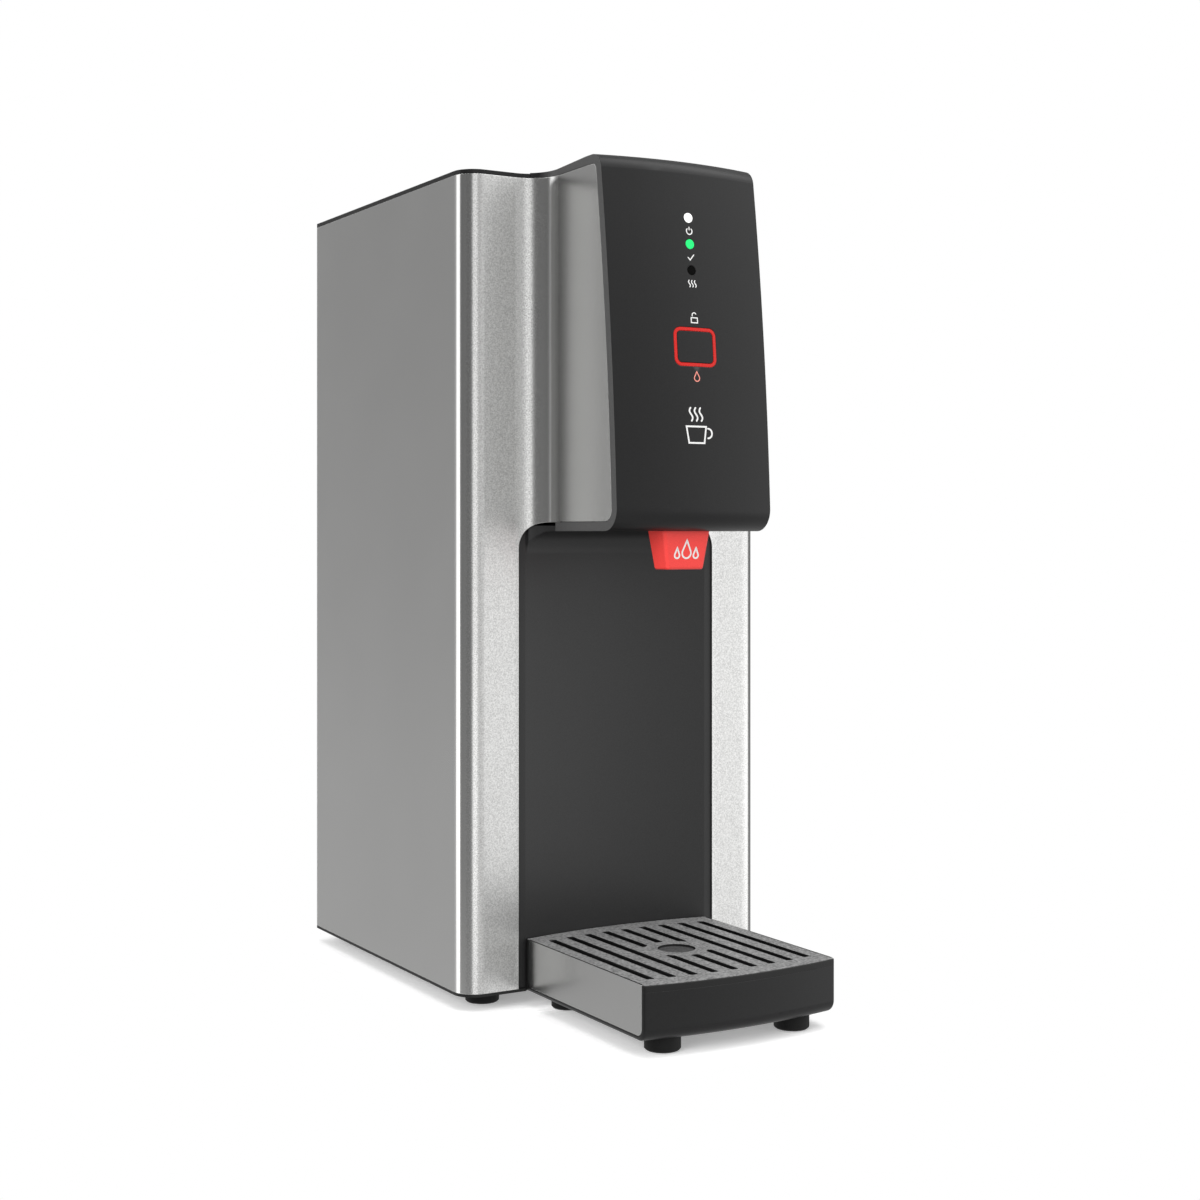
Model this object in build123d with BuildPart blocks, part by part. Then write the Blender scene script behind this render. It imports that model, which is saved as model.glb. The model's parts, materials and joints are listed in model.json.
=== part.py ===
from build123d import *
import math
import os

# Countertop water dispenser: a tall steel cabinet with a control head that overhangs a lift-out drip tray.
# Millimetres, +Z up, front towards -Y. The origin is on the counter, under the middle of the outline.

# Cabinet
cabinet_width = 190.0
cabinet_depth = 207.0
steel_height = 435.4
steel_gauge = 1.0
front_bend = 12.0
return_flange = 14.0
base_thickness = 1.6
base_flange_height = 12.0
base_flange_gauge = 1.2
cap_thickness = 2.4
cap_lip_depth = 10.0
cap_lip_gauge = 2.0
cap_screw_inset = 47.5
rear_screw_low = 35.0
rear_screw_high = 52.0
fit_gap = 0.2

# Feet
foot_radius = 9.2
foot_height = 7.7
foot_edge = 0.8
foot_socket_depth = 3.2
body_foot_inset = 21.7

# Recess and splash panel
opening_margin = 14.9
opening_corner = 14.0
panel_sag = 6.0
panel_wall = 2.5
panel_roll = 12.0
panel_margin = 8.0

# Head
head_width = 95.0
cheek_height = 184.9
neck_bend = 17.0
head_rim = 4.8
head_rim_depth = 2.5
head_wall = 3.0
head_low_reach = 83.3
head_high_reach = 66.7
head_bulge = 2.5
head_bow = 5.5
bow_sweep = 70.0
head_top_roll = 9.0
head_bottom_roll = 11.5
head_slope = 2.0
cap_joint = 2.0
floor_joint = 14.0

# Front controls
power_lens_drop = 31.3
lens_pitch = 13.9
lens_radius = 2.5
lens_flange = 1.2
button_drop = 99.2
ring_width = 25.7
ring_height = 20.2
ring_line = 1.65
ring_corner = 4.2
ring_depth = 5.0
ring_flange = 2.0
ring_flange_thickness = 1.0
button_gap = 0.3
button_flange = 1.5
button_travel = 1.2
stem_radius = 2.4
button_spring_radius = 5.6
button_spring_wire = 0.6
button_spring_turns = 4
board_setback = 15.0
board_thickness = 1.6
display_board_width = 64.0
display_board_top_drop = 23.0
board_valve_gap = 11.0
switch_size = 6.2
switch_case_height = 3.4
switch_height = 4.4
switch_stem_radius = 1.7
led_size = 2.5
led_height = 2.0

# Nozzle and dispensing valve
nozzle_setback = 61.6
nozzle_top_width = 28.7
nozzle_top_depth = 16.9
nozzle_tip_width = 22.5
nozzle_tip_depth = 13.4
nozzle_length = 20.0
nozzle_wall = 2.0
nozzle_flange_width = 44.0
nozzle_flange_depth = 17.8
nozzle_flange_thickness = 2.0
nozzle_edge = 1.6
nozzle_lip = 1.5
spout_radius = 4.0
spout_bore = 3.0
spout_recess = 2.0
bracket_width = 30.0
bracket_gauge = 1.5
valve_size = 24.0
valve_block_height = 22.0
valve_seat_height = 8.0
valve_outlet_height = 4.0
valve_port_height = 12.0
valve_barb_radius = 4.5
valve_barb_length = 14.0
valve_port_bore = 3.0
guide_bore = 5.3
guide_wall = 1.2
coil_radius = 13.5
coil_height = 22.0
plunger_clearance = 0.3
plunger_length = 24.0
plunger_travel = 3.0
valve_spring_room = 13.7
valve_spring_wire = 0.8
valve_spring_turns = 5
seat_gap = 0.1
hose_wall = 2.2
hose_fit = 0.1
clamp_width = 7.0
clamp_gauge = 1.0
clamp_ear = 4.0

# Tank and what is fitted to it
service_depth = 42.0
side_space = 9.0
front_space = 5.0
head_space = 104.0
stand_height = 28.0
stand_gauge = 1.5
tank_wall = 1.0
tank_corner = 15.0
tank_flange = 10.0
insulation_thickness = 10.0
gasket_thickness = 2.0
lid_thickness = 1.5
stub_radius = 4.5
stub_bore = 3.4
stub_length = 14.0
lid_port_side = 37.5
lid_port_end = 32.4
outlet_stub_length = 20.0
element_height = 36.0
element_offset = 34.0
element_tube = 4.0
element_spread = 18.0
element_reach = 92.0
element_boss = 15.0
element_nut = 16.0
element_nut_thickness = 7.0
terminal_radius = 2.0
terminal_length = 9.0
probe_radius = 3.0
probe_head = 7.0
probe_head_height = 9.0
temperature_probe_depth = 150.0
level_probe_depth = 45.0
thermostat_radius = 9.0
thermostat_height = 8.0
thermostat_level = 190.0

# Water and power connections at the back
fitting_reach = 18.0
port_height = 40.0
inlet_inset = 51.0
fitting_radius = 7.0
fitting_bore = 4.0
fitting_flange_radius = 12.0
fitting_flange = 4.0
inlet_valve_setback = 26.0
inlet_hose_bend = 14.0
drain_radius = 6.0
drain_bore = 4.5
drain_projection = 9.0
drain_cap_radius = 9.0
drain_cap_length = 9.0
drain_cap_wall = 2.0
vent_rise = 30.0
vent_bend = 14.0
vent_projection = 2.0
gland_inset = 33.0
gland_radius = 9.0
gland_bore = 4.0
gland_flange_radius = 13.0
gland_length = 14.0
gland_nut_thickness = 5.0
switch_level = 110.0
rocker_width = 11.0
rocker_half_length = 10.0
rocker_tip = 2.5
rocker_tilt = 10.0
rocker_pivot_depth = 2.0
rocker_back = 5.0
rocker_back_half = 5.0
rocker_gap = 0.5
bezel_width = 2.5
bezel_height = 1.5
switch_depth = 18.0

# Control electronics
control_board_width = 104.0
control_board_height = 136.0
control_board_level = 240.0
standoff_height = 8.0
standoff_radius = 3.0
board_inset = 6.0
heatsink_rise = 34.0
heatsink_width = 60.0
heatsink_height = 46.0
heatsink_base = 3.0
heatsink_fin = 1.6
heatsink_fin_height = 10.0
heatsink_fins = 8
terminal_block_drop = 34.0
terminal_block_width = 52.0
terminal_block_height = 16.0
terminal_block_depth = 14.0
terminal_count = 6
terminal_hole_radius = 2.2
terminal_hole_depth = 7.0

# Drip tray
tray_side_gap = 4.65
tray_reach = 125.5
tray_bow = 5.5
tray_height = 28.0
tray_wall = 2.6
tray_floor = 2.4
tray_corner = 2.0
tray_front_roll = 6.5
tray_gap = 0.5
tray_cheek_gauge = 1.0
tray_cheek_bottom = 2.7
tray_cheek_front = 2.2
tray_cheek_back = 3.2
tray_cheek_corner = 4.0
tray_foot_side = 18.5
tray_foot_front = 12.5
tray_foot_back = 14.0
grate_thickness = 3.5
grate_edge = 0.8
grate_skirt_depth = 4.0
grate_skirt_wall = 1.5
grate_skirt_gap = 0.5
slot_count = 9
slot_pitch = 11.85
slot_width = 4.4
slot_border = 11.7
slot_side_border = 6.0
slot_round = 1.2
target_radius = 10.0
target_clear_radius = 16.5
target_depth = 1.2

# Fasteners
screw_radius = 1.5
screw_head_radius = 3.0
screw_head_top = 2.4
screw_head_height = 2.0
screw_recess_length = 3.4
screw_recess_width = 0.8
screw_recess_depth = 1.2
screw_length = 6.0
screw_clearance = 0.1

# Widths, levels and planes that follow from the sizes above
opening_width = head_width + 2 * opening_margin
tray_width = opening_width - 2 * tray_side_gap
recess_height = steel_height - cheek_height
inlet_offset = cabinet_width / 2 - inlet_inset
gland_offset = cabinet_width / 2 - gland_inset
plunger_seat = valve_seat_height + seat_gap
guide_depth = plunger_seat + plunger_length + plunger_travel + valve_spring_room
guide_height = guide_depth + guide_wall - valve_block_height
steel_bottom = foot_height + base_thickness
steel_top = steel_bottom + steel_height
cheek_bottom = steel_bottom + recess_height
head_bottom = cheek_bottom - head_rim
head_top = steel_top + head_rim
front_y = (tray_reach - cabinet_depth - fitting_reach) / 2
rear_y = front_y + cabinet_depth
sheet_back = rear_y - steel_gauge
neck_tip = front_y - head_low_reach - front_bend
panel_front = front_y + steel_gauge
panel_radius = ((tray_width / 2) ** 2 + panel_sag**2) / (2 * panel_sag)
panel_center_y = panel_front + panel_sag - panel_radius
tray_top = foot_height + tray_height
wide = 2 * (cabinet_width + cabinet_depth + steel_height)

# The head's front face in side view: a shallow arc over the chord from its low edge to its high edge
low_y = front_y - head_low_reach
high_y = front_y - head_high_reach
chord_length = math.hypot(high_y - low_y, head_top - head_bottom)
chord_back = (high_y - low_y) / chord_length
chord_up = (head_top - head_bottom) / chord_length
profile_radius = ((chord_length / 2) ** 2 + head_bulge**2) / (2 * head_bulge)
profile_center_y = (low_y + high_y) / 2 + chord_up * (profile_radius - head_bulge)
profile_center_z = (head_bottom + head_top) / 2 - chord_back * (profile_radius - head_bulge)
bow_radius = ((head_width / 2) ** 2 + head_bow**2) / (2 * head_bow)


def front_plane(level):
    """Plane that touches the middle of the head's front face at a level, facing outwards."""
    rise = level - profile_center_z
    y = profile_center_y - math.sqrt(profile_radius**2 - rise**2)
    return Plane(origin=(0, y, level), x_dir=(1, 0, 0), z_dir=(0, y - profile_center_y, rise))


bow_axis_y = front_plane((head_bottom + head_top) / 2).origin.Y + bow_radius


def housing_plan(inset, back, tip):
    """Outline of the cabinet and its neck from above, drawn in by an inset."""
    half = cabinet_width / 2 - inset
    neck_half = head_width / 2 - inset
    front = front_y + inset
    with BuildSketch() as plan:
        with BuildLine():
            FilletPolyline(
                (-half, back),
                (-half, front),
                (-neck_half, front),
                (-neck_half, tip),
                radius=[front_bend - inset, neck_bend + inset],
            )
            Line((-neck_half, tip), (0, tip))
            Line((0, back), (-half, back))
            mirror(about=Plane.YZ)
        make_face()
    return plan.sketch


def rolled_edge(level, roll, inset, flat_side):
    """Rolled edge of the head in side view, from its flat side to the front face, drawn in by an inset."""
    profile_center = Vector(profile_center_y, profile_center_z)
    depth = math.sqrt((profile_radius - roll) ** 2 - (level - profile_center_z) ** 2)
    center = Vector(profile_center_y - depth, level)
    outward = (center - profile_center).normalized()
    flat = Vector(0, flat_side)
    corner = (flat + outward).normalized()
    return [center + direction * (roll - inset) for direction in (flat, corner, outward)], outward


def head_volume(inset):
    """Solid of the head's outer shape drawn in by an inset, run back into the cabinet."""
    turn = math.radians(bow_sweep / 2)
    radial = Plane(
        origin=(0, bow_axis_y, 0),
        x_dir=(-math.sin(turn), -math.cos(turn), 0),
        z_dir=(-math.cos(turn), math.sin(turn), 0),
    )
    low_edge, low_out = rolled_edge(head_bottom + head_bottom_roll, head_bottom_roll, inset, -1)
    high_edge, high_out = rolled_edge(head_top - head_top_roll, head_top_roll, inset, 1)
    middle = front_plane((head_bottom + head_top) / 2).offset(-inset).origin
    back = front_y + 2 * front_bend + inset

    def place(point):
        return (bow_axis_y - point.X, point.Y)

    with BuildPart() as volume:
        with BuildSketch(radial):
            with BuildLine():
                ThreePointArc(*[place(point) for point in low_edge])
                Spline(
                    place(low_edge[2]),
                    place(Vector(middle.Y, middle.Z)),
                    place(high_edge[2]),
                    tangents=[(-low_out.Y, -low_out.X), (-high_out.Y, -high_out.X)],
                )
                ThreePointArc(*[place(point) for point in reversed(high_edge)])
                Polyline(
                    place(high_edge[0]),
                    place(Vector(back, head_top - inset)),
                    place(Vector(back, head_bottom + inset)),
                    place(low_edge[0]),
                )
            make_face()
        revolve(axis=Axis((0, bow_axis_y, 0), (0, 0, 1)), revolution_arc=bow_sweep)
    return volume.part


def tray_plan(half, inset=0, corner=tray_corner):
    """Outline of the drip tray from above at a half width, drawn in by an inset."""
    back_radius = panel_radius - tray_gap
    back_corner = panel_center_y + math.sqrt(back_radius**2 - half**2)
    front_radius = ((tray_width / 2) ** 2 + tray_bow**2) / (2 * tray_bow)
    front_corner = front_y - tray_reach + front_radius - math.sqrt(front_radius**2 - half**2)
    with BuildSketch() as plan:
        with BuildLine():
            ThreePointArc((-half, front_corner), (0, front_y - tray_reach), (half, front_corner))
            Line((half, front_corner), (half, back_corner))
            ThreePointArc((half, back_corner), (0, panel_center_y + back_radius), (-half, back_corner))
            Line((-half, back_corner), (-half, front_corner))
        make_face()
        if corner:
            fillet(plan.vertices(), corner)
        if inset:
            offset(amount=-inset)
    return plan.sketch


def coil_spring(start, direction, length, radius, wire, turns):
    """Open coil of round wire between two seats."""
    free = length - wire - 2 * seat_gap
    first = Vector(*start) + Vector(*direction).normalized() * (wire / 2 + seat_gap)
    with BuildPart() as spring:
        with BuildLine() as path:
            Helix(pitch=free / turns, height=free, radius=radius, center=first, direction=direction)
        with BuildSketch(Plane(origin=path.line @ 0, z_dir=path.line % 0)):
            Circle(wire / 2)
        sweep(is_frenet=True)
    return spring


def hose(points, bends, radius, bore):
    """Tube along straight runs joined by tangent bends."""
    with BuildPart() as tube:
        with BuildLine() as path:
            FilletPolyline(*points, radius=bends)
        with BuildSketch(Plane(origin=path.line @ 0, z_dir=path.line % 0)):
            Circle(radius)
            Circle(bore, mode=Mode.SUBTRACT)
        sweep()
    return tube


def facing(x, y, z, direction):
    """Place with its own +Z along a direction."""
    return Plane(origin=(x, y, z), z_dir=direction)


def save(piece, name):
    """Label a finished piece and write it out."""
    piece.part.label = name
    export_step(piece.part, f"parts/{name}.step")


os.makedirs("parts", exist_ok=True)

# Base plate with upstands inside the steel sides

panel_half = tray_width / 2
upstand_front = front_y + body_foot_inset + foot_radius
body_foot_places = [
    (side * (cabinet_width / 2 - body_foot_inset), y)
    for side in (-1, 1)
    for y in (front_y + body_foot_inset, rear_y - body_foot_inset)
]

with BuildPart() as base_plate:
    with BuildSketch(Plane.XY.offset(foot_height)):
        with BuildLine():
            half = cabinet_width / 2
            FilletPolyline(
                (-panel_half, panel_front),
                (-panel_half, front_y),
                (-half, front_y),
                (-half, rear_y),
                radius=[0, front_bend],
            )
            Line((-half, rear_y), (half, rear_y))
            FilletPolyline(
                (half, rear_y),
                (half, front_y),
                (panel_half, front_y),
                (panel_half, panel_front),
                radius=[front_bend, 0],
            )
            ThreePointArc((panel_half, panel_front), (0, panel_front + panel_sag), (-panel_half, panel_front))
        make_face()
    extrude(amount=base_thickness)
    upstand_x = cabinet_width / 2 - steel_gauge - fit_gap - base_flange_gauge / 2
    upstand_back = sheet_back - steel_gauge - fit_gap
    with Locations((0, (upstand_front + upstand_back) / 2, steel_bottom)):
        with GridLocations(2 * upstand_x, 0, 2, 1):
            Box(
                base_flange_gauge,
                upstand_back - upstand_front,
                base_flange_height,
                align=(Align.CENTER, Align.CENTER, Align.MIN),
            )
    with Locations(*[facing(x, y, foot_height, (0, 0, -1)) for x, y in body_foot_places]):
        Hole(screw_radius + screw_clearance, depth=base_thickness)
save(base_plate, "base_plate")


def foot_group(places):
    """Rubber feet with a screw socket in their soles, under a list of points."""
    with BuildPart() as feet:
        with Locations(*[(x, y, 0) for x, y in places]):
            Cylinder(foot_radius, foot_height, align=(Align.CENTER, Align.CENTER, Align.MIN))
        chamfer(feet.edges().group_by(Axis.Z)[0], foot_edge)
        with Locations(*[facing(x, y, 0, (0, 0, -1)) for x, y in places]):
            CounterBoreHole(
                screw_radius + screw_clearance,
                screw_head_radius + fit_gap,
                foot_socket_depth,
                depth=foot_height,
            )
    return feet


def screw_group(places, length):
    """Cross-recessed screws at a list of planes that face out of the head side."""
    with BuildPart() as screws:
        with Locations(*places):
            Cone(
                screw_head_radius,
                screw_head_top,
                screw_head_height,
                align=(Align.CENTER, Align.CENTER, Align.MIN),
            )
            Cylinder(screw_radius, length, align=(Align.CENTER, Align.CENTER, Align.MAX))
            with Locations((0, 0, screw_head_height)):
                Box(
                    screw_recess_length,
                    screw_recess_width,
                    screw_recess_depth,
                    align=(Align.CENTER, Align.CENTER, Align.MAX),
                    mode=Mode.SUBTRACT,
                )
                Box(
                    screw_recess_width,
                    screw_recess_length,
                    screw_recess_depth,
                    align=(Align.CENTER, Align.CENTER, Align.MAX),
                    mode=Mode.SUBTRACT,
                )
    return screws


body_feet = foot_group(body_foot_places)
save(body_feet, "body_feet")

foot_screw_length = foot_height - foot_socket_depth + base_thickness
body_foot_screws = screw_group(
    [facing(x, y, foot_socket_depth, (0, 0, -1)) for x, y in body_foot_places], foot_screw_length
)
save(body_foot_screws, "body_foot_screws")

# Steel side wraps: side, front strip, concave bend and head cheek in one sheet each

head_shape = head_volume(0)
head_inside = head_volume(head_wall)
head_window = head_volume(head_rim)
cheek_shape = head_volume(head_rim + fit_gap)
cheek_start = front_y - neck_bend

with BuildPart() as left_cheek:
    with Locations((-head_width / 2, cheek_start, 0)):
        Box(steel_gauge, head_low_reach, wide, align=(Align.MIN, Align.MAX, Align.CENTER))
    add(cheek_shape, mode=Mode.INTERSECT)

with BuildPart() as recess_opening:
    with BuildSketch(Plane.XZ.offset(-panel_front)) as opening:
        with Locations((0, cheek_bottom)):
            Rectangle(opening_width, recess_height + base_thickness, align=(Align.CENTER, Align.MAX))
        fillet(opening.vertices().group_by(Axis.Y)[-1], opening_corner)
    extrude(amount=steel_gauge + head_low_reach)

flange_screw_x = cabinet_width / 2 - return_flange / 2
low_screw_level = steel_bottom + rear_screw_low
high_screw_level = steel_top - rear_screw_high
rear_screw_levels = [low_screw_level, (low_screw_level + high_screw_level) / 2, high_screw_level]
side_screw_places = [
    facing(side * flange_screw_x, rear_y, level, (0, 1, 0)) for side in (-1, 1) for level in rear_screw_levels
]
cap_screw_x = cabinet_width / 2 - cap_screw_inset
cap_screw_places = [
    facing(side * cap_screw_x, rear_y, steel_top - cap_lip_depth / 2, (0, 1, 0)) for side in (-1, 1)
]

with BuildPart() as left_wrap:
    with BuildSketch(Plane.XY.offset(steel_bottom)):
        add(housing_plan(0, sheet_back, neck_tip))
        add(housing_plan(steel_gauge, sheet_back + steel_gauge, neck_tip - steel_gauge), mode=Mode.SUBTRACT)
        Rectangle(wide, wide, align=(Align.MIN, Align.CENTER), mode=Mode.SUBTRACT)
        with Locations((0, cheek_start)):
            Rectangle(wide, wide, align=(Align.CENTER, Align.MAX), mode=Mode.SUBTRACT)
    extrude(amount=steel_height)
    add(left_cheek.part)
    add(recess_opening.part, mode=Mode.SUBTRACT)
    with Locations((-cabinet_width / 2, sheet_back, steel_bottom)):
        Box(return_flange, steel_gauge, steel_height, align=(Align.MIN, Align.MAX, Align.MIN))
    with Locations(*side_screw_places):
        Hole(screw_radius + screw_clearance, depth=screw_length)
save(left_wrap, "left_wrap")

with BuildPart() as right_wrap:
    mirror(left_wrap.part, about=Plane.YZ)
save(right_wrap, "right_wrap")

# Top cover with side lips and a screwed rear lip

cap_front = front_y - cap_joint + fit_gap
lip_inset = steel_gauge + fit_gap
lip_front = front_y + front_bend + steel_gauge
lip_back = sheet_back - steel_gauge - fit_gap - cap_lip_gauge

with BuildPart() as top_cover:
    with BuildSketch(Plane.XY.offset(steel_top)):
        add(housing_plan(0, rear_y, neck_tip))
        with Locations((0, cap_front)):
            Rectangle(wide, wide, align=(Align.CENTER, Align.MAX), mode=Mode.SUBTRACT)
    extrude(amount=cap_thickness)
    with Locations((0, (lip_front + lip_back) / 2, steel_top)):
        with GridLocations(cabinet_width - 2 * lip_inset - cap_lip_gauge, 0, 2, 1):
            Box(
                cap_lip_gauge,
                lip_back - lip_front,
                cap_lip_depth,
                align=(Align.CENTER, Align.CENTER, Align.MAX),
            )
    with Locations((0, sheet_back, steel_top)):
        Box(
            cabinet_width - 2 * return_flange - 2 * lip_inset,
            cap_lip_gauge,
            cap_lip_depth,
            align=(Align.CENTER, Align.MAX, Align.MAX),
        )
    with Locations(*cap_screw_places):
        Hole(screw_radius + screw_clearance, depth=screw_length)
save(top_cover, "top_cover")

# Splash panel: a hollow-curved back wall that rolls forward under the head

panel_top = head_bottom + head_wall
bracket_top = panel_top + nozzle_flange_thickness + bracket_gauge
ceiling_front = front_y - floor_joint
ceiling_width = 2 * (panel_half - steel_gauge)
bracket_screw_x = bracket_width / 2 - screw_head_radius
bracket_screw_y = front_y - floor_joint / 2

with BuildPart() as splash_panel:
    with BuildSketch(Plane.XY.offset(steel_bottom)):
        with BuildLine():
            outer_half = opening_width / 2 + panel_margin
            Polyline(
                (-panel_half, panel_front),
                (-outer_half, panel_front),
                (-outer_half, panel_front + panel_wall),
                (-panel_half, panel_front + panel_wall),
            )
            ThreePointArc(
                (-panel_half, panel_front + panel_wall),
                (0, panel_front + panel_sag + panel_wall),
                (panel_half, panel_front + panel_wall),
            )
            Polyline(
                (panel_half, panel_front + panel_wall),
                (outer_half, panel_front + panel_wall),
                (outer_half, panel_front),
                (panel_half, panel_front),
            )
            ThreePointArc((panel_half, panel_front), (0, panel_front + panel_sag), (-panel_half, panel_front))
        make_face()
    extrude(amount=panel_top - steel_bottom)
    with BuildSketch(Plane.XY.offset(head_bottom)):
        add(housing_plan(steel_gauge + fit_gap, sheet_back, neck_tip))
        with Locations((0, ceiling_front)):
            Rectangle(ceiling_width, wide, align=(Align.CENTER, Align.MIN), mode=Mode.INTERSECT)
        with BuildLine():
            Line((-panel_half, panel_front), (-wide, panel_front))
            Polyline((-wide, panel_front), (-wide, wide), (wide, wide), (wide, panel_front))
            Line((wide, panel_front), (panel_half, panel_front))
            ThreePointArc((panel_half, panel_front), (0, panel_front + panel_sag), (-panel_half, panel_front))
        make_face(mode=Mode.SUBTRACT)
    extrude(amount=head_wall)
    inner_edge = (
        splash_panel.edges()
        .filter_by(GeomType.CIRCLE)
        .filter_by_position(Axis.Z, head_bottom, head_bottom)
        .sort_by(lambda edge: abs(edge.radius - panel_radius))[0]
    )
    fillet(inner_edge, panel_roll)
    with Locations((0, front_y, panel_top)):
        Box(
            bracket_width,
            floor_joint,
            nozzle_flange_thickness,
            align=(Align.CENTER, Align.MAX, Align.MIN),
        )
    with Locations((0, bracket_screw_y, panel_top + nozzle_flange_thickness)):
        with GridLocations(2 * bracket_screw_x, 0, 2, 1):
            Hole(screw_radius + screw_clearance, depth=nozzle_flange_thickness + head_wall)
save(splash_panel, "splash_panel")

# Places of the pieces behind the front cover

button_plane = front_plane(head_top - button_drop)
valve_top = bracket_top + valve_block_height + guide_height
display_board_top = head_top - display_board_top_drop
display_board_bottom = valve_top + board_valve_gap
display_board_length = display_board_top - display_board_bottom
board_plane = front_plane((display_board_top + display_board_bottom) / 2).offset(-board_setback)
lens_planes = {
    "power_lens": front_plane(head_top - power_lens_drop),
    "ready_lens": front_plane(head_top - power_lens_drop - lens_pitch),
    "heating_lens": front_plane(head_top - power_lens_drop - 2 * lens_pitch),
}
nozzle_y = front_y - nozzle_setback
button_width = ring_width - 2 * ring_line - 2 * button_gap
button_height = ring_height - 2 * ring_line - 2 * button_gap
button_corner = max(ring_corner - ring_line - button_gap, seat_gap)
proud = head_bow


def board_depth(plane):
    """Distance from a plane on the front face back to the display board, along the plane's normal."""
    offset_to_board = (board_plane.origin - plane.origin).dot(board_plane.z_dir)
    return -offset_to_board / plane.z_dir.dot(board_plane.z_dir)


display_screw_places = [
    board_plane.offset(-board_thickness).location * Location((x, y, 0), (180, 0, 0))
    for x in (board_inset - display_board_width / 2, display_board_width / 2 - board_inset)
    for y in (board_inset - display_board_length / 2, display_board_length / 2 - board_inset)
]
nozzle_screw_x = (nozzle_flange_width + nozzle_top_width) / 4

# Head front cover: bowed front, top and underside with a rim around the steel cheeks

post_limit = head_volume(head_wall / 2)

with BuildPart() as board_posts:
    with BuildSketch(board_plane):
        with GridLocations(display_board_width - 2 * board_inset, display_board_length - 2 * board_inset, 2, 2):
            Circle(standoff_radius)
    extrude(amount=2 * board_setback)
    add(post_limit, mode=Mode.INTERSECT)

with BuildPart() as cover_cavity:
    with Locations((0, front_y, (head_bottom + head_top) / 2)):
        Box(head_width - 2 * head_rim_depth, wide, wide)
    add(head_inside, mode=Mode.INTERSECT)

with BuildPart() as head_front_cover:
    with BuildSketch(Plane.XY.offset(head_bottom)):
        add(housing_plan(0, sheet_back, neck_tip))
        with Locations((0, front_y - cap_joint)):
            Rectangle(wide, wide, align=(Align.CENTER, Align.MIN), mode=Mode.SUBTRACT)
    extrude(amount=head_top - head_bottom)
    add(head_shape, mode=Mode.INTERSECT)
    add(cover_cavity.part, mode=Mode.SUBTRACT)
    add(head_window, mode=Mode.SUBTRACT)
    with BuildSketch(Plane.YZ):
        with BuildLine():
            Polyline(
                (front_y - cap_joint, head_top),
                (front_y - cap_joint, head_top - head_slope),
                (high_y + head_top_roll + 2 * head_bow, head_top),
                close=True,
            )
        make_face()
    extrude(amount=wide, both=True, mode=Mode.SUBTRACT)
    with Locations((0, ceiling_front - fit_gap, cheek_bottom + head_rim)):
        Box(wide, wide, wide, align=(Align.CENTER, Align.MIN, Align.MAX), mode=Mode.SUBTRACT)
    add(board_posts.part)
    with Locations(*display_screw_places):
        Hole(screw_radius + screw_clearance, depth=board_thickness + screw_length)
    with BuildSketch(button_plane.offset(proud)):
        RectangleRounded(ring_width + 2 * fit_gap, ring_height + 2 * fit_gap, ring_corner)
    extrude(amount=-proud - ring_depth, mode=Mode.SUBTRACT)
    with Locations(*[plane.offset(proud) for plane in lens_planes.values()]):
        Hole(lens_radius + fit_gap, depth=proud + 2 * head_wall)
    with BuildSketch(Plane.XY.offset(panel_top)):
        with Locations((0, nozzle_y)):
            RectangleRounded(
                nozzle_top_width + 2 * fit_gap, nozzle_top_depth + 2 * fit_gap, nozzle_edge + fit_gap
            )
    extrude(amount=head_wall, both=True, mode=Mode.SUBTRACT)
    with Locations((0, nozzle_y, panel_top)):
        with GridLocations(2 * nozzle_screw_x, 0, 2, 1):
            Hole(screw_radius + screw_clearance, depth=head_wall)
save(head_front_cover, "head_front_cover")

# Light pipes in the front cover, each with a flange against its inside

lens_seat = head_wall + fit_gap
for name, plane in lens_planes.items():
    with BuildPart() as lens:
        with BuildSketch(plane.offset(proud)):
            Circle(lens_radius)
        extrude(amount=-proud - lens_seat)
        add(head_shape, mode=Mode.INTERSECT)
        with BuildSketch(plane.offset(-lens_seat)):
            Circle(lens_radius + lens_flange)
        extrude(amount=-(board_depth(plane) - lens_seat - led_height - fit_gap))
    save(lens, name)

# Lit ring and the push button inside it

with BuildPart() as button_ring:
    with BuildSketch(button_plane.offset(proud)):
        RectangleRounded(ring_width, ring_height, ring_corner)
    extrude(amount=-proud - ring_depth)
    add(head_shape, mode=Mode.INTERSECT)
    with BuildSketch(button_plane.offset(-ring_depth)):
        RectangleRounded(ring_width + 2 * ring_flange, ring_height + 2 * ring_flange, ring_corner)
    extrude(amount=ring_flange_thickness)
    with BuildSketch(button_plane.offset(proud)):
        RectangleRounded(ring_width - 2 * ring_line, ring_height - 2 * ring_line, button_corner + button_gap)
    extrude(amount=-2 * proud - 2 * ring_depth, mode=Mode.SUBTRACT)
save(button_ring, "button_ring")

button_back = ring_depth + button_gap
button_limit = head_volume(fit_gap / 2)
switch_top = board_depth(button_plane) - switch_height
with BuildPart() as dispense_button:
    with BuildSketch(button_plane.offset(proud)):
        RectangleRounded(button_width, button_height, button_corner)
    extrude(amount=-proud - button_back)
    add(button_limit, mode=Mode.INTERSECT)
    with BuildSketch(button_plane.offset(-button_back)):
        RectangleRounded(button_width + 2 * ring_line, button_height + 2 * ring_line, ring_corner)
    extrude(amount=-button_flange)
    with BuildSketch(button_plane.offset(-button_back - button_flange)):
        Circle(stem_radius)
    extrude(amount=-(switch_top - button_travel - 2 * fit_gap - button_back - button_flange))
save(dispense_button, "dispense_button")

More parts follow.
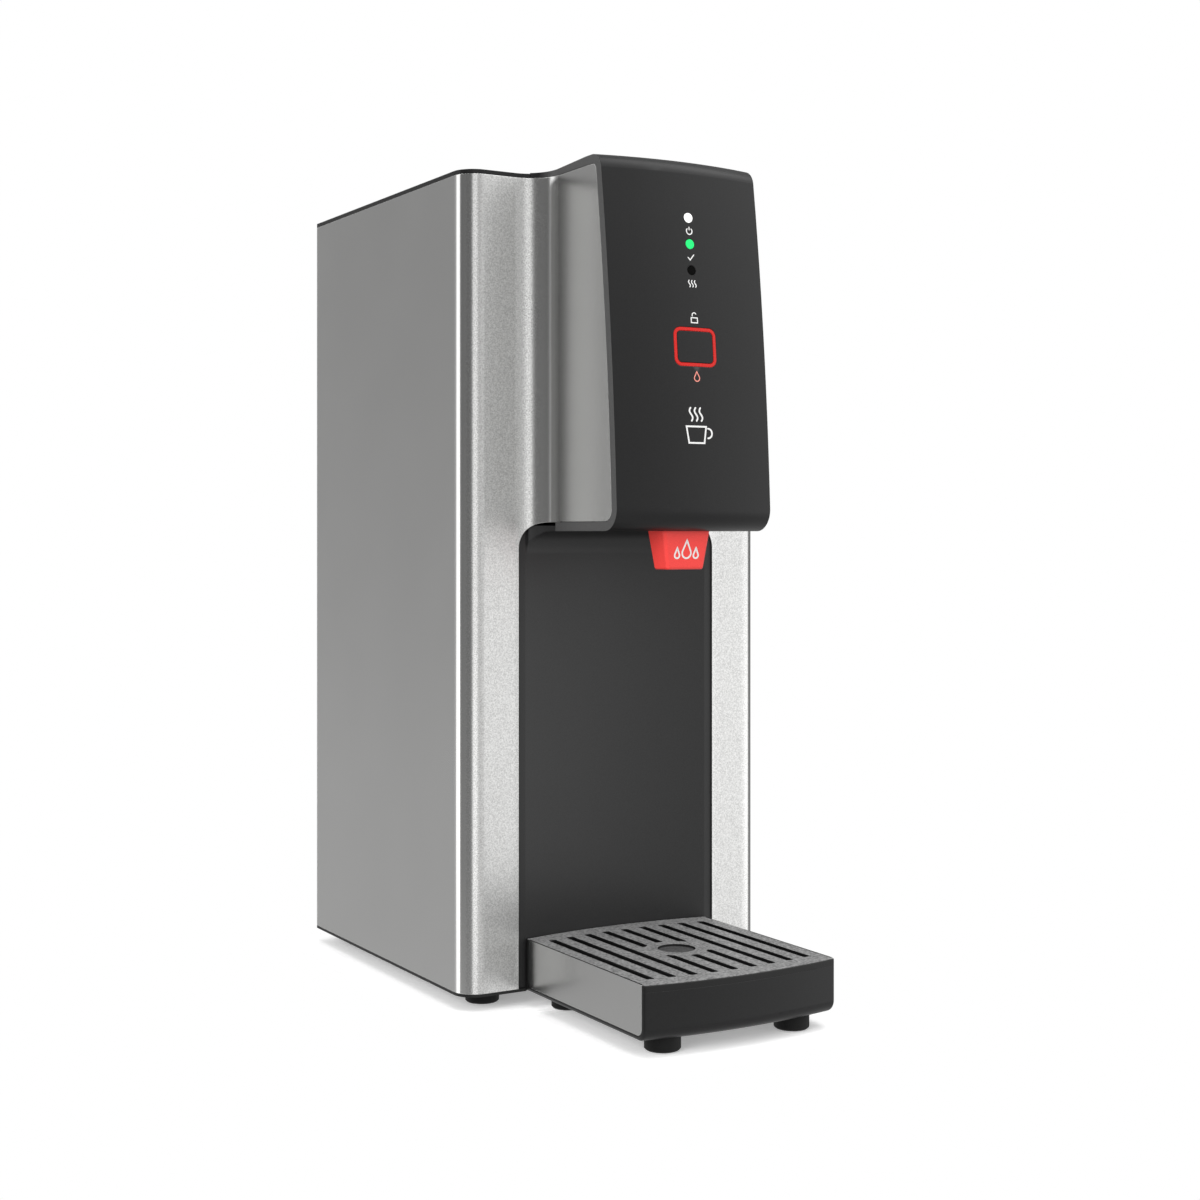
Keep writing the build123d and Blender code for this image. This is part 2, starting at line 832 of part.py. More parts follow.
spring_seat = button_plane.offset(-button_back - button_flange)
button_spring = coil_spring(
    spring_seat.origin,
    spring_seat.z_dir * -1,
    board_depth(button_plane) - button_back - button_flange - 2 * fit_gap,
    button_spring_radius,
    button_spring_wire,
    button_spring_turns,
)
save(button_spring, "button_spring")

# Display board with its switch, held on posts of the front cover

switch_plane = Plane(
    origin=button_plane.origin - button_plane.z_dir * board_depth(button_plane),
    x_dir=(1, 0, 0),
    z_dir=board_plane.z_dir,
)
with BuildPart() as display_board:
    with BuildSketch(board_plane):
        Rectangle(display_board_width, display_board_length)
        with GridLocations(display_board_width - 2 * board_inset, display_board_length - 2 * board_inset, 2, 2):
            Circle(screw_radius + screw_clearance, mode=Mode.SUBTRACT)
    extrude(amount=-board_thickness)
    for plane in lens_planes.values():
        led_origin = plane.origin - plane.z_dir * board_depth(plane)
        with Locations(Plane(origin=led_origin, x_dir=(1, 0, 0), z_dir=board_plane.z_dir)):
            Box(led_size, led_size, led_height, align=(Align.CENTER, Align.CENTER, Align.MIN))
save(display_board, "display_board")

with BuildPart() as dispense_switch:
    with Locations(switch_plane):
        Box(
            switch_size,
            switch_size,
            switch_case_height,
            align=(Align.CENTER, Align.CENTER, Align.MIN),
        )
        Cylinder(switch_stem_radius, switch_height, align=(Align.CENTER, Align.CENTER, Align.MIN))
save(dispense_switch, "dispense_switch")

display_board_screws = screw_group(display_screw_places, board_thickness + screw_length)
save(display_board_screws, "display_board_screws")

# Nozzle shroud, spout and the bracket that carries the dispensing valve

with BuildPart() as nozzle_shroud:
    with BuildSketch(Plane.XY.offset(head_bottom)):
        with Locations((0, nozzle_y)):
            RectangleRounded(nozzle_top_width, nozzle_top_depth, nozzle_edge)
    with BuildSketch(Plane.XY.offset(head_bottom - nozzle_length)):
        with Locations((0, nozzle_y)):
            RectangleRounded(nozzle_tip_width, nozzle_tip_depth, nozzle_edge)
    loft()
    fillet(nozzle_shroud.edges().group_by(Axis.Z)[0], nozzle_lip)
    with BuildSketch(Plane.XY.offset(head_bottom)):
        with Locations((0, nozzle_y)):
            RectangleRounded(nozzle_top_width, nozzle_top_depth, nozzle_edge)
    extrude(amount=head_wall)
    with BuildSketch(Plane.XY.offset(panel_top)):
        with Locations((0, nozzle_y)):
            RectangleRounded(nozzle_flange_width, nozzle_flange_depth, nozzle_edge)
    extrude(amount=nozzle_flange_thickness)
    with BuildSketch(Plane.XY.offset(bracket_top)):
        with Locations((0, nozzle_y)):
            Rectangle(nozzle_tip_width - 2 * nozzle_wall, nozzle_tip_depth - 2 * nozzle_wall)
    extrude(amount=-wide, mode=Mode.SUBTRACT)
    with Locations((0, nozzle_y, panel_top + nozzle_flange_thickness)):
        with GridLocations(2 * nozzle_screw_x, 0, 2, 1):
            Hole(screw_radius + screw_clearance, depth=nozzle_flange_thickness)
save(nozzle_shroud, "nozzle_shroud")

with BuildPart() as valve_bracket:
    bracket_front = nozzle_y - valve_size / 2
    with Locations((0, front_y, panel_top + nozzle_flange_thickness)):
        Box(
            bracket_width,
            front_y - bracket_front,
            bracket_gauge,
            align=(Align.CENTER, Align.MAX, Align.MIN),
        )
    with Locations((0, nozzle_y, bracket_top)):
        Hole(spout_radius + fit_gap)
    with Locations((0, bracket_screw_y, bracket_top)):
        with GridLocations(2 * bracket_screw_x, 0, 2, 1):
            Hole(screw_radius + screw_clearance)
save(valve_bracket, "valve_bracket")

head_screw_length = nozzle_flange_thickness + head_wall
head_screws = screw_group(
    [
        facing(side * nozzle_screw_x, nozzle_y, panel_top + nozzle_flange_thickness, (0, 0, 1))
        for side in (-1, 1)
    ]
    + [facing(side * bracket_screw_x, bracket_screw_y, bracket_top, (0, 0, 1)) for side in (-1, 1)],
    head_screw_length,
)
save(head_screws, "head_screws")

with BuildPart() as outlet_spout:
    with Locations((0, nozzle_y, bracket_top)):
        Cylinder(
            spout_radius,
            bracket_top - head_bottom + nozzle_length - spout_recess,
            align=(Align.CENTER, Align.CENTER, Align.MAX),
        )
        Hole(spout_bore)
save(outlet_spout, "outlet_spout")


def valve_block(x, y, base, outlet):
    """Solenoid valve block with a barb at the back, an outlet along a direction and a closed guide tube."""
    guide_radius = guide_bore + guide_wall
    with BuildPart() as block:
        with Locations((x, y, base)):
            Box(valve_size, valve_size, valve_block_height, align=(Align.CENTER, Align.CENTER, Align.MIN))
        with Locations((x, y, base + valve_block_height)):
            Cylinder(guide_radius, guide_height, align=(Align.CENTER, Align.CENTER, Align.MIN))
        with Locations(facing(x, y + valve_size / 2, base + valve_port_height, (0, 1, 0))):
            Cylinder(valve_barb_radius, valve_barb_length, align=(Align.CENTER, Align.CENTER, Align.MIN))
        if outlet[2] == 0:
            with Locations(facing(x + outlet[0] * valve_size / 2, y, base + valve_outlet_height, outlet)):
                Cylinder(valve_barb_radius, valve_barb_length, align=(Align.CENTER, Align.CENTER, Align.MIN))
        with Locations((x, y, base + valve_seat_height)):
            Cylinder(
                guide_bore,
                guide_depth - valve_seat_height,
                align=(Align.CENTER, Align.CENTER, Align.MIN),
                mode=Mode.SUBTRACT,
            )
        with Locations(facing(x, y, base + valve_port_height, (0, 1, 0))):
            Cylinder(
                valve_port_bore,
                valve_size + valve_barb_length,
                align=(Align.CENTER, Align.CENTER, Align.MIN),
                mode=Mode.SUBTRACT,
            )
        with Locations(facing(x, y, base + valve_outlet_height, outlet)):
            Cylinder(
                valve_port_bore,
                valve_size + valve_barb_length,
                align=(Align.CENTER, Align.CENTER, Align.MIN),
                mode=Mode.SUBTRACT,
            )
        with Locations((x, y, base + valve_seat_height)):
            Cylinder(
                valve_port_bore,
                valve_seat_height - valve_outlet_height,
                align=(Align.CENTER, Align.CENTER, Align.MAX),
                mode=Mode.SUBTRACT,
            )
    return block


def valve_coil(x, y, base):
    """Moulded coil pushed over the guide tube of a solenoid valve."""
    with BuildPart() as coil:
        with Locations((x, y, base + valve_block_height + fit_gap)):
            Cylinder(coil_radius, coil_height, align=(Align.CENTER, Align.CENTER, Align.MIN))
            Cylinder(
                guide_bore + guide_wall + fit_gap,
                coil_height,
                align=(Align.CENTER, Align.CENTER, Align.MIN),
                mode=Mode.SUBTRACT,
            )
    return coil


def valve_plunger(x, y, base):
    """Plunger that seals the outlet and lifts inside the guide tube."""
    with BuildPart() as plunger:
        with Locations((x, y, base + plunger_seat)):
            Cylinder(
                guide_bore - plunger_clearance,
                plunger_length,
                align=(Align.CENTER, Align.CENTER, Align.MIN),
            )
    return plunger


def valve_spring(x, y, base):
    """Return spring between the plunger and the closed end of its guide tube."""
    return coil_spring(
        (x, y, base + plunger_seat + plunger_length),
        (0, 0, 1),
        plunger_travel + valve_spring_room,
        guide_bore - plunger_clearance - valve_spring_wire,
        valve_spring_wire,
        valve_spring_turns,
    )


dispense_valve_body = valve_block(0, nozzle_y, bracket_top, (0, 0, -1))
save(dispense_valve_body, "dispense_valve_body")
dispense_valve_coil = valve_coil(0, nozzle_y, bracket_top)
save(dispense_valve_coil, "dispense_valve_coil")
dispense_plunger = valve_plunger(0, nozzle_y, bracket_top)
save(dispense_plunger, "dispense_plunger")
dispense_valve_spring = valve_spring(0, nozzle_y, bracket_top)
save(dispense_valve_spring, "dispense_valve_spring")

# Tank: shell with a top flange, gasket, screwed lid, foam sleeve and stand

tank_width = cabinet_width - 2 * (steel_gauge + side_space + insulation_thickness)
tank_front = panel_front + panel_sag + panel_wall + front_space + insulation_thickness
tank_back = rear_y - steel_gauge - service_depth - insulation_thickness
tank_depth = tank_back - tank_front
tank_y = (tank_front + tank_back) / 2
tank_bottom = steel_bottom + stand_height
tank_top = steel_top - head_space
tank_height = tank_top - tank_bottom
lid_bottom = tank_top + gasket_thickness
lid_top = lid_bottom + lid_thickness
outlet_level = bracket_top + valve_port_height
port_level = steel_bottom + port_height
element_level = tank_bottom + element_height
thermostat_z = tank_bottom + thermostat_level
flange_half_x = (tank_width + tank_flange) / 2
flange_half_y = (tank_depth + tank_flange) / 2
lid_screw_spots = [
    (x, tank_y + y)
    for x in (-flange_half_x, 0, flange_half_x)
    for y in (-flange_half_y, 0, flange_half_y)
    if x or y
]
lid_port_x = tank_width / 2 - lid_port_side
inlet_stub = (lid_port_x, tank_back - lid_port_end)
vent_stub = (-lid_port_x, tank_back - lid_port_end)
temperature_spot = (-lid_port_x, tank_front + lid_port_end)
level_spot = (lid_port_x, tank_front + lid_port_end)
sleeve_front = tank_front - insulation_thickness
sleeve_back = tank_back + insulation_thickness


def tank_outline(grow):
    """Rounded outline of the tank from above, grown outwards."""
    with BuildSketch() as outline:
        with Locations((0, tank_y)):
            RectangleRounded(tank_width + 2 * grow, tank_depth + 2 * grow, tank_corner + grow)
    return outline.sketch


with BuildPart() as tank_shell:
    with BuildSketch(Plane.XY.offset(tank_bottom)):
        add(tank_outline(0))
    extrude(amount=tank_height)
    with BuildSketch(Plane.XY.offset(tank_top)):
        add(tank_outline(tank_flange))
    extrude(amount=-tank_wall)
    with BuildSketch(Plane.XY.offset(tank_bottom + tank_wall)):
        add(tank_outline(-tank_wall))
    extrude(amount=tank_height, mode=Mode.SUBTRACT)
    with Locations(facing(0, tank_front + tank_wall, outlet_level, (0, -1, 0))):
        Cylinder(stub_radius, tank_wall + outlet_stub_length, align=(Align.CENTER, Align.CENTER, Align.MIN))
    with Locations(facing(0, tank_front - outlet_stub_length, outlet_level, (0, -1, 0))):
        Hole(stub_bore, depth=outlet_stub_length + 2 * tank_wall)
    with Locations(facing(-element_offset, tank_back, element_level, (0, 1, 0))):
        Hole(element_boss + fit_gap, depth=2 * tank_wall)
    with Locations(facing(0, tank_back, port_level, (0, 1, 0))):
        Hole(drain_bore, depth=2 * tank_wall)
    with Locations(*[(x, y, tank_top) for x, y in lid_screw_spots]):
        Hole(screw_radius + screw_clearance, depth=2 * tank_wall)
save(tank_shell, "tank_shell")

with BuildPart() as tank_gasket:
    with BuildSketch(Plane.XY.offset(tank_top)):
        add(tank_outline(tank_flange))
        add(tank_outline(-tank_wall), mode=Mode.SUBTRACT)
    extrude(amount=gasket_thickness)
    with Locations(*[(x, y, lid_bottom) for x, y in lid_screw_spots]):
        Hole(screw_radius + screw_clearance, depth=2 * gasket_thickness)
save(tank_gasket, "tank_gasket")

with BuildPart() as tank_lid:
    with BuildSketch(Plane.XY.offset(lid_bottom)):
        add(tank_outline(tank_flange))
    extrude(amount=lid_thickness)
    with Locations(*[(x, y, lid_top) for x, y in (inlet_stub, vent_stub)]):
        Cylinder(stub_radius, stub_length, align=(Align.CENTER, Align.CENTER, Align.MIN))
    with Locations(*[(x, y, lid_top + stub_length) for x, y in (inlet_stub, vent_stub)]):
        Hole(stub_bore, depth=stub_length + lid_thickness)
    with Locations(*[(x, y, lid_top) for x, y in (temperature_spot, level_spot)]):
        Hole(probe_radius + fit_gap, depth=lid_thickness)
    with Locations(*[(x, y, lid_top) for x, y in lid_screw_spots]):
        Hole(screw_radius + screw_clearance, depth=lid_thickness)
save(tank_lid, "tank_lid")

tank_lid_screws = screw_group(
    [facing(x, y, lid_top, (0, 0, 1)) for x, y in lid_screw_spots],
    lid_thickness + gasket_thickness + tank_wall,
)
save(tank_lid_screws, "tank_lid_screws")

with BuildPart() as tank_insulation:
    with BuildSketch(Plane.XY.offset(tank_bottom)):
        add(tank_outline(insulation_thickness))
        add(tank_outline(fit_gap), mode=Mode.SUBTRACT)
    extrude(amount=tank_height - tank_wall - fit_gap - screw_head_height)
    with Locations(facing(0, sleeve_front, outlet_level, (0, -1, 0))):
        Hole(stub_radius + hose_wall + clamp_gauge + clamp_ear, depth=insulation_thickness)
    with Locations(facing(-element_offset, sleeve_back, element_level, (0, 1, 0))):
        Hole(element_nut + fit_gap, depth=insulation_thickness)
    with Locations(facing(0, sleeve_back, port_level, (0, 1, 0))):
        Hole(drain_radius + fit_gap, depth=insulation_thickness)
    with Locations(facing(element_offset, sleeve_back, thermostat_z, (0, 1, 0))):
        Hole(thermostat_radius + fit_gap, depth=insulation_thickness)
save(tank_insulation, "tank_insulation")

with BuildPart() as tank_stand:
    with BuildSketch(Plane.XZ.offset(-tank_front)):
        with Locations((0, tank_bottom)):
            Rectangle(tank_width, stand_height, align=(Align.CENTER, Align.MAX))
        with Locations((0, tank_bottom - stand_gauge)):
            Rectangle(
                tank_width - 2 * stand_gauge, stand_height, align=(Align.CENTER, Align.MAX), mode=Mode.SUBTRACT
            )
    extrude(amount=-tank_depth)
save(tank_stand, "tank_stand")

# Heating element, probes and thermostat

with BuildPart() as heating_element:
    leg = element_spread / 2
    with BuildLine(Plane.XY.offset(element_level)) as bent_tube:
        element_tip = tank_back - element_reach
        Line((-element_offset - leg, tank_back), (-element_offset - leg, element_tip))
        ThreePointArc(
            (-element_offset - leg, element_tip),
            (-element_offset, element_tip - leg),
            (-element_offset + leg, element_tip),
        )
        Line((-element_offset + leg, element_tip), (-element_offset + leg, tank_back))
    with BuildSketch(Plane(origin=bent_tube.line @ 0, z_dir=bent_tube.line % 0)):
        Circle(element_tube)
    sweep()
    with Locations(facing(-element_offset, tank_back - 2 * tank_wall, element_level, (0, 1, 0))):
        Cylinder(element_boss, 2 * tank_wall, align=(Align.CENTER, Align.CENTER, Align.MIN))
    with BuildSketch(facing(-element_offset, tank_back, element_level, (0, 1, 0))):
        RegularPolygon(element_nut, 6)
    extrude(amount=element_nut_thickness)
    with Locations(facing(-element_offset, tank_back + element_nut_thickness, element_level, (0, 1, 0))):
        with GridLocations(element_spread, 0, 2, 1):
            Cylinder(terminal_radius, terminal_length, align=(Align.CENTER, Align.CENTER, Align.MIN))
save(heating_element, "heating_element")


def lid_probe(spot, depth):
    """Hex-headed probe that hangs from the tank lid."""
    with BuildPart() as probe:
        with BuildSketch(Plane.XY.offset(lid_top)):
            with Locations(spot):
                RegularPolygon(probe_head, 6)
        extrude(amount=probe_head_height)
        with Locations((spot[0], spot[1], lid_top)):
            Cylinder(probe_radius, lid_thickness + depth, align=(Align.CENTER, Align.CENTER, Align.MAX))
    return probe


temperature_probe = lid_probe(temperature_spot, temperature_probe_depth)
save(temperature_probe, "temperature_probe")
level_probe = lid_probe(level_spot, level_probe_depth)
save(level_probe, "level_probe")

with BuildPart() as high_limit_thermostat:
    with Locations(facing(element_offset, tank_back, thermostat_z, (0, 1, 0))):
        Cylinder(thermostat_radius, thermostat_height, align=(Align.CENTER, Align.CENTER, Align.MIN))
    with Locations(facing(element_offset, tank_back + thermostat_height, thermostat_z, (0, 1, 0))):
        with GridLocations(thermostat_radius, 0, 2, 1):
            Box(
                board_thickness,
                2 * terminal_radius,
                terminal_length,
                align=(Align.CENTER, Align.CENTER, Align.MIN),
            )
save(high_limit_thermostat, "high_limit_thermostat")

# Outlet hose from the tank to the dispensing valve, with its clamps

barb_start = nozzle_y + valve_size / 2
hose_front = barb_start + hose_fit
hose_back = tank_front - fit_gap
outlet_hose_radius = stub_radius + hose_fit + hose_wall
with BuildPart() as outlet_hose:
    with Locations(facing(0, hose_front, outlet_level, (0, 1, 0))):
        Cylinder(outlet_hose_radius, hose_back - hose_front, align=(Align.CENTER, Align.CENTER, Align.MIN))
    with Locations(facing(0, hose_back, outlet_level, (0, 1, 0))):
        Hole(stub_radius + hose_fit)
save(outlet_hose, "outlet_hose")

with BuildPart() as hose_clamps:
    clamp_bore = outlet_hose_radius + hose_fit
    for y in (barb_start + valve_barb_length / 2, sleeve_front - front_space / 2):
        with Locations(facing(0, y - clamp_width / 2, outlet_level, (0, 1, 0))):
            Cylinder(clamp_bore + clamp_gauge, clamp_width, align=(Align.CENTER, Align.CENTER, Align.MIN))
        with Locations((0, y, outlet_level + clamp_bore)):
            Box(clamp_ear, clamp_width, clamp_ear, align=(Align.CENTER, Align.CENTER, Align.MIN))
        with Locations(facing(0, y - clamp_width / 2, outlet_level, (0, 1, 0))):
            Cylinder(
                clamp_bore, clamp_width, align=(Align.CENTER, Align.CENTER, Align.MIN), mode=Mode.SUBTRACT
            )
save(hose_clamps, "hose_clamps")

# Inlet: bulkhead fitting, solenoid valve and hose up to the tank lid

inlet_valve_y = rear_y - steel_gauge - inlet_valve_setback
inlet_base = port_level - valve_port_height
with BuildPart() as inlet_fitting:
    with Locations(facing(inlet_offset, inlet_valve_y + valve_size / 2, port_level, (0, 1, 0))):
        Cylinder(
            fitting_radius,
            rear_y + fitting_reach - inlet_valve_y - valve_size / 2,
            align=(Align.CENTER, Align.CENTER, Align.MIN),
        )
    with BuildSketch(facing(inlet_offset, rear_y, port_level, (0, 1, 0))):
        RegularPolygon(fitting_flange_radius, 6)
    extrude(amount=fitting_flange)
    with Locations(facing(inlet_offset, rear_y + fitting_reach, port_level, (0, 1, 0))):
        Hole(fitting_bore)
    with Locations(facing(inlet_offset, inlet_valve_y + valve_size / 2, port_level, (0, -1, 0))):
        Hole(valve_barb_radius + hose_fit, depth=valve_barb_length + hose_fit)
save(inlet_fitting, "inlet_fitting")

inlet_valve_body = valve_block(inlet_offset, inlet_valve_y, inlet_base, (1, 0, 0))
save(inlet_valve_body, "inlet_valve_body")
inlet_valve_coil = valve_coil(inlet_offset, inlet_valve_y, inlet_base)
save(inlet_valve_coil, "inlet_valve_coil")
inlet_plunger = valve_plunger(inlet_offset, inlet_valve_y, inlet_base)
save(inlet_plunger, "inlet_plunger")
inlet_valve_spring = valve_spring(inlet_offset, inlet_valve_y, inlet_base)
save(inlet_valve_spring, "inlet_valve_spring")

inlet_hose_radius = valve_barb_radius + hose_fit + hose_wall
inlet_hose_x = cabinet_width / 2 - steel_gauge - base_flange_gauge - 2 * fit_gap - inlet_hose_radius
inlet_hose_level = inlet_base + valve_outlet_height
hose_crest = lid_top + stub_length + 2 * inlet_hose_bend
inlet_hose = hose(
    [
        (inlet_offset + valve_size / 2 + hose_fit, inlet_valve_y, inlet_hose_level),
        (inlet_hose_x, inlet_valve_y, inlet_hose_level),
        (inlet_hose_x, inlet_valve_y, hose_crest),
        (inlet_stub[0], inlet_stub[1], hose_crest),
        (inlet_stub[0], inlet_stub[1], lid_top + hose_fit),
    ],
    inlet_hose_bend,
    inlet_hose_radius,
    valve_barb_radius + hose_fit,
)
save(inlet_hose, "inlet_hose")

# Drain and vent

drain_end = rear_y + drain_projection
with BuildPart() as drain_tube:
    with Locations(facing(0, tank_back, port_level, (0, 1, 0))):
        Cylinder(drain_radius, drain_end - tank_back, align=(Align.CENTER, Align.CENTER, Align.MIN))
    with Locations(facing(0, drain_end, port_level, (0, 1, 0))):
        Hole(drain_bore)
save(drain_tube, "drain_tube")

with BuildPart() as drain_cap:
    with Locations(facing(0, drain_end + drain_cap_wall - drain_cap_length, port_level, (0, 1, 0))):
        Cylinder(drain_cap_radius, drain_cap_length, align=(Align.CENTER, Align.CENTER, Align.MIN))
    with Locations(facing(0, drain_end + drain_cap_wall - drain_cap_length, port_level, (0, -1, 0))):
        Hole(drain_radius + hose_fit, depth=drain_cap_length - drain_cap_wall)
save(drain_cap, "drain_cap")

vent_level = lid_top + stub_length + vent_rise
vent_outer = stub_radius + hose_fit + hose_wall
vent_tube = hose(
    [
        (vent_stub[0], vent_stub[1], lid_top + hose_fit),
        (vent_stub[0], vent_stub[1], vent_level),
        (vent_stub[0], rear_y + vent_projection, vent_level),
    ],
    vent_bend,
    vent_outer,
    stub_radius + hose_fit,
)
save(vent_tube, "vent_tube")

# Rear panel with its screws

switch_z = steel_bottom + switch_level
cutout_width = rocker_width + 2 * rocker_gap + 2 * bezel_width
rocker_reach = math.hypot(rocker_half_length, rocker_tip + rocker_pivot_depth)
cutout_height = 2 * (rocker_reach + rocker_gap + bezel_width)
switch_body_width = cutout_width - 2 * fit_gap
switch_body_height = cutout_height - 2 * fit_gap
board_back = rear_y - steel_gauge - standoff_height
board_level = steel_bottom + control_board_level
standoff_places = [
    (x, board_level + z)
    for x in (board_inset - control_board_width / 2, control_board_width / 2 - board_inset)
    for z in (board_inset - control_board_height / 2, control_board_height / 2 - board_inset)
]

with BuildPart() as rear_panel:
    with Locations((0, rear_y, steel_bottom)):
        Box(cabinet_width, steel_gauge, steel_height, align=(Align.CENTER, Align.MAX, Align.MIN))
    with Locations(*side_screw_places, *cap_screw_places):
        Hole(screw_radius + screw_clearance, depth=2 * steel_gauge)
    with Locations(*[facing(x, rear_y, z, (0, 1, 0)) for x, z in standoff_places]):
        Hole(screw_radius + screw_clearance, depth=2 * steel_gauge)
    with Locations(facing(inlet_offset, rear_y, port_level, (0, 1, 0))):
        Hole(fitting_radius + fit_gap, depth=2 * steel_gauge)
    with Locations(facing(0, rear_y, port_level, (0, 1, 0))):
        Hole(drain_radius + fit_gap, depth=2 * steel_gauge)
    with Locations(facing(-gland_offset, rear_y, port_level, (0, 1, 0))):
        Hole(gland_radius + fit_gap, depth=2 * steel_gauge)
    with Locations(facing(vent_stub[0], rear_y, vent_level, (0, 1, 0))):
        Hole(vent_outer + fit_gap, depth=2 * steel_gauge)
    with Locations((-gland_offset, rear_y, switch_z)):
        Box(cutout_width, 4 * steel_gauge, cutout_height, mode=Mode.SUBTRACT)
save(rear_panel, "rear_panel")

rear_panel_screws = screw_group(side_screw_places + cap_screw_places, screw_length)
save(rear_panel_screws, "rear_panel_screws")

# Power inlet gland and the rocker switch

with BuildPart() as power_gland:
    with BuildSketch(facing(-gland_offset, rear_y, port_level, (0, 1, 0))):
        RegularPolygon(gland_flange_radius, 6)
    extrude(amount=gland_nut_thickness)
    with Locations(facing(-gland_offset, rear_y - steel_gauge - gland_nut_thickness, port_level, (0, 1, 0))):
        Cylinder(
            gland_radius,
            steel_gauge + gland_nut_thickness + gland_length,
            align=(Align.CENTER, Align.CENTER, Align.MIN),
        )
    with BuildSketch(facing(-gland_offset, rear_y - steel_gauge, port_level, (0, -1, 0))):
        RegularPolygon(gland_flange_radius, 6)
    extrude(amount=gland_nut_thickness)
    with Locations(facing(-gland_offset, rear_y + gland_length, port_level, (0, 1, 0))):
        Hole(gland_bore)
save(power_gland, "power_gland")

pivot_y = rear_y - rocker_pivot_depth
with BuildPart() as power_switch_housing:
    with Locations((-gland_offset, rear_y, switch_z)):
        Box(
            switch_body_width + 2 * bezel_width,
            bezel_height,
            switch_body_height + 2 * bezel_width,
            align=(Align.CENTER, Align.MIN, Align.CENTER),
        )
        Box(switch_body_width, switch_depth, switch_body_height, align=(Align.CENTER, Align.MAX, Align.CENTER))
    with Locations((-gland_offset, rear_y + bezel_height, switch_z)):
        Box(
            rocker_width + 2 * rocker_gap,
            bezel_height + rocker_pivot_depth + rocker_reach + rocker_gap,
            2 * (rocker_reach + rocker_gap),
            align=(Align.CENTER, Align.MAX, Align.CENTER),
            mode=Mode.SUBTRACT,
        )
    with Locations(facing(-gland_offset, pivot_y, switch_z, (1, 0, 0))):
        Cylinder(screw_radius, rocker_width + 2 * rocker_gap)
save(power_switch_housing, "power_switch_housing")

rocker_turn = math.radians(rocker_tilt)
rocker_plane = Plane(
    origin=(-gland_offset, pivot_y, switch_z),
    x_dir=(0, math.cos(rocker_turn), math.sin(rocker_turn)),
    z_dir=(1, 0, 0),
)
with BuildPart() as power_rocker:
    with BuildSketch(rocker_plane):
        tip = rocker_tip + rocker_pivot_depth
        valley = tip - rocker_half_length * math.tan(rocker_turn)
        with BuildLine():
            Polyline(
                (tip, rocker_half_length),
                (valley, 0),
                (tip, -rocker_half_length),
                (0, -rocker_half_length),
                (-rocker_back, -rocker_back_half),
                (-rocker_back, rocker_back_half),
                (0, rocker_half_length),
                close=True,
            )
        make_face()
        Circle(screw_radius + plunger_clearance, mode=Mode.SUBTRACT)
    extrude(amount=rocker_width / 2, both=True)
save(power_rocker, "power_rocker")

# Control board on standoffs, with heat sink and terminal block

with BuildPart() as board_standoffs:
    with Locations(*[facing(x, rear_y - steel_gauge, z, (0, -1, 0)) for x, z in standoff_places]):
        Cylinder(standoff_radius, standoff_height, align=(Align.CENTER, Align.CENTER, Align.MIN))
        Cylinder(screw_radius, steel_gauge, align=(Align.CENTER, Align.CENTER, Align.MAX))
        Cylinder(
            screw_radius,
            standoff_height + board_thickness + screw_head_height,
            align=(Align.CENTER, Align.CENTER, Align.MIN),
        )
save(board_standoffs, "board_standoffs")

board_front = board_back - board_thickness
with BuildPart() as control_board:
    with Locations((0, board_back, board_level)):
        Box(
            control_board_width,
            board_thickness,
            control_board_height,
            align=(Align.CENTER, Align.MAX, Align.CENTER),
        )
    with Locations(*[facing(x, board_back, z, (0, 1, 0)) for x, z in standoff_places]):
        Hole(screw_radius + screw_clearance, depth=2 * board_thickness)
save(control_board, "control_board")

heatsink_z = board_level + heatsink_rise
with BuildPart() as heatsink:
    with Locations((0, board_front, heatsink_z)):
        Box(heatsink_width, heatsink_base, heatsink_height, align=(Align.CENTER, Align.MAX, Align.CENTER))
    fin_pitch = (heatsink_width - heatsink_fin) / (heatsink_fins - 1)
    with Locations((0, board_front - heatsink_base, heatsink_z)):
        with GridLocations(fin_pitch, 0, heatsink_fins, 1):
            Box(
                heatsink_fin,
                heatsink_fin_height,
                heatsink_height,
                align=(Align.CENTER, Align.MAX, Align.CENTER),
            )
save(heatsink, "heatsink")

terminal_z = board_level - terminal_block_drop
with BuildPart() as terminal_block:
    with Locations((0, board_front, terminal_z)):
        Box(
            terminal_block_width,
            terminal_block_depth,
            terminal_block_height,
            align=(Align.CENTER, Align.MAX, Align.CENTER),
        )
    terminal_pitch = terminal_block_width / terminal_count
    with Locations(facing(0, board_front - terminal_block_depth, terminal_z, (0, -1, 0))):
        with GridLocations(terminal_pitch, 0, terminal_count, 1):
            Hole(terminal_hole_radius, depth=terminal_hole_depth)
save(terminal_block, "terminal_block")

# Drip tray: tub, steel side cheeks, feet and the slotted grate

tub_top = tray_top - grate_thickness
tray_front_corner = front_y - tray_reach + tray_bow
tray_back_corner = panel_front - tray_gap
tray_foot_x = tray_width / 2 - tray_foot_side
tray_foot_places = [
    (side * tray_foot_x, y)
    for side in (-1, 1)
    for y in (tray_front_corner + tray_foot_front, tray_back_corner - tray_foot_back)
]


def tray_cheek_outline(gap):
    """Outline of a tray cheek in side view, grown by a gap on every side but its top."""
    front = tray_front_corner + tray_cheek_front - gap
    back = tray_back_corner - tray_cheek_back + gap
    bottom = foot_height + tray_cheek_bottom - gap
    with BuildSketch() as cheek:
        with Locations(((front + back) / 2, bottom)):
            Rectangle(back - front, tray_top - bottom, align=(Align.CENTER, Align.MIN))
        fillet(cheek.vertices().group_by(Axis.Y)[0], tray_cheek_corner)
    return cheek.sketch


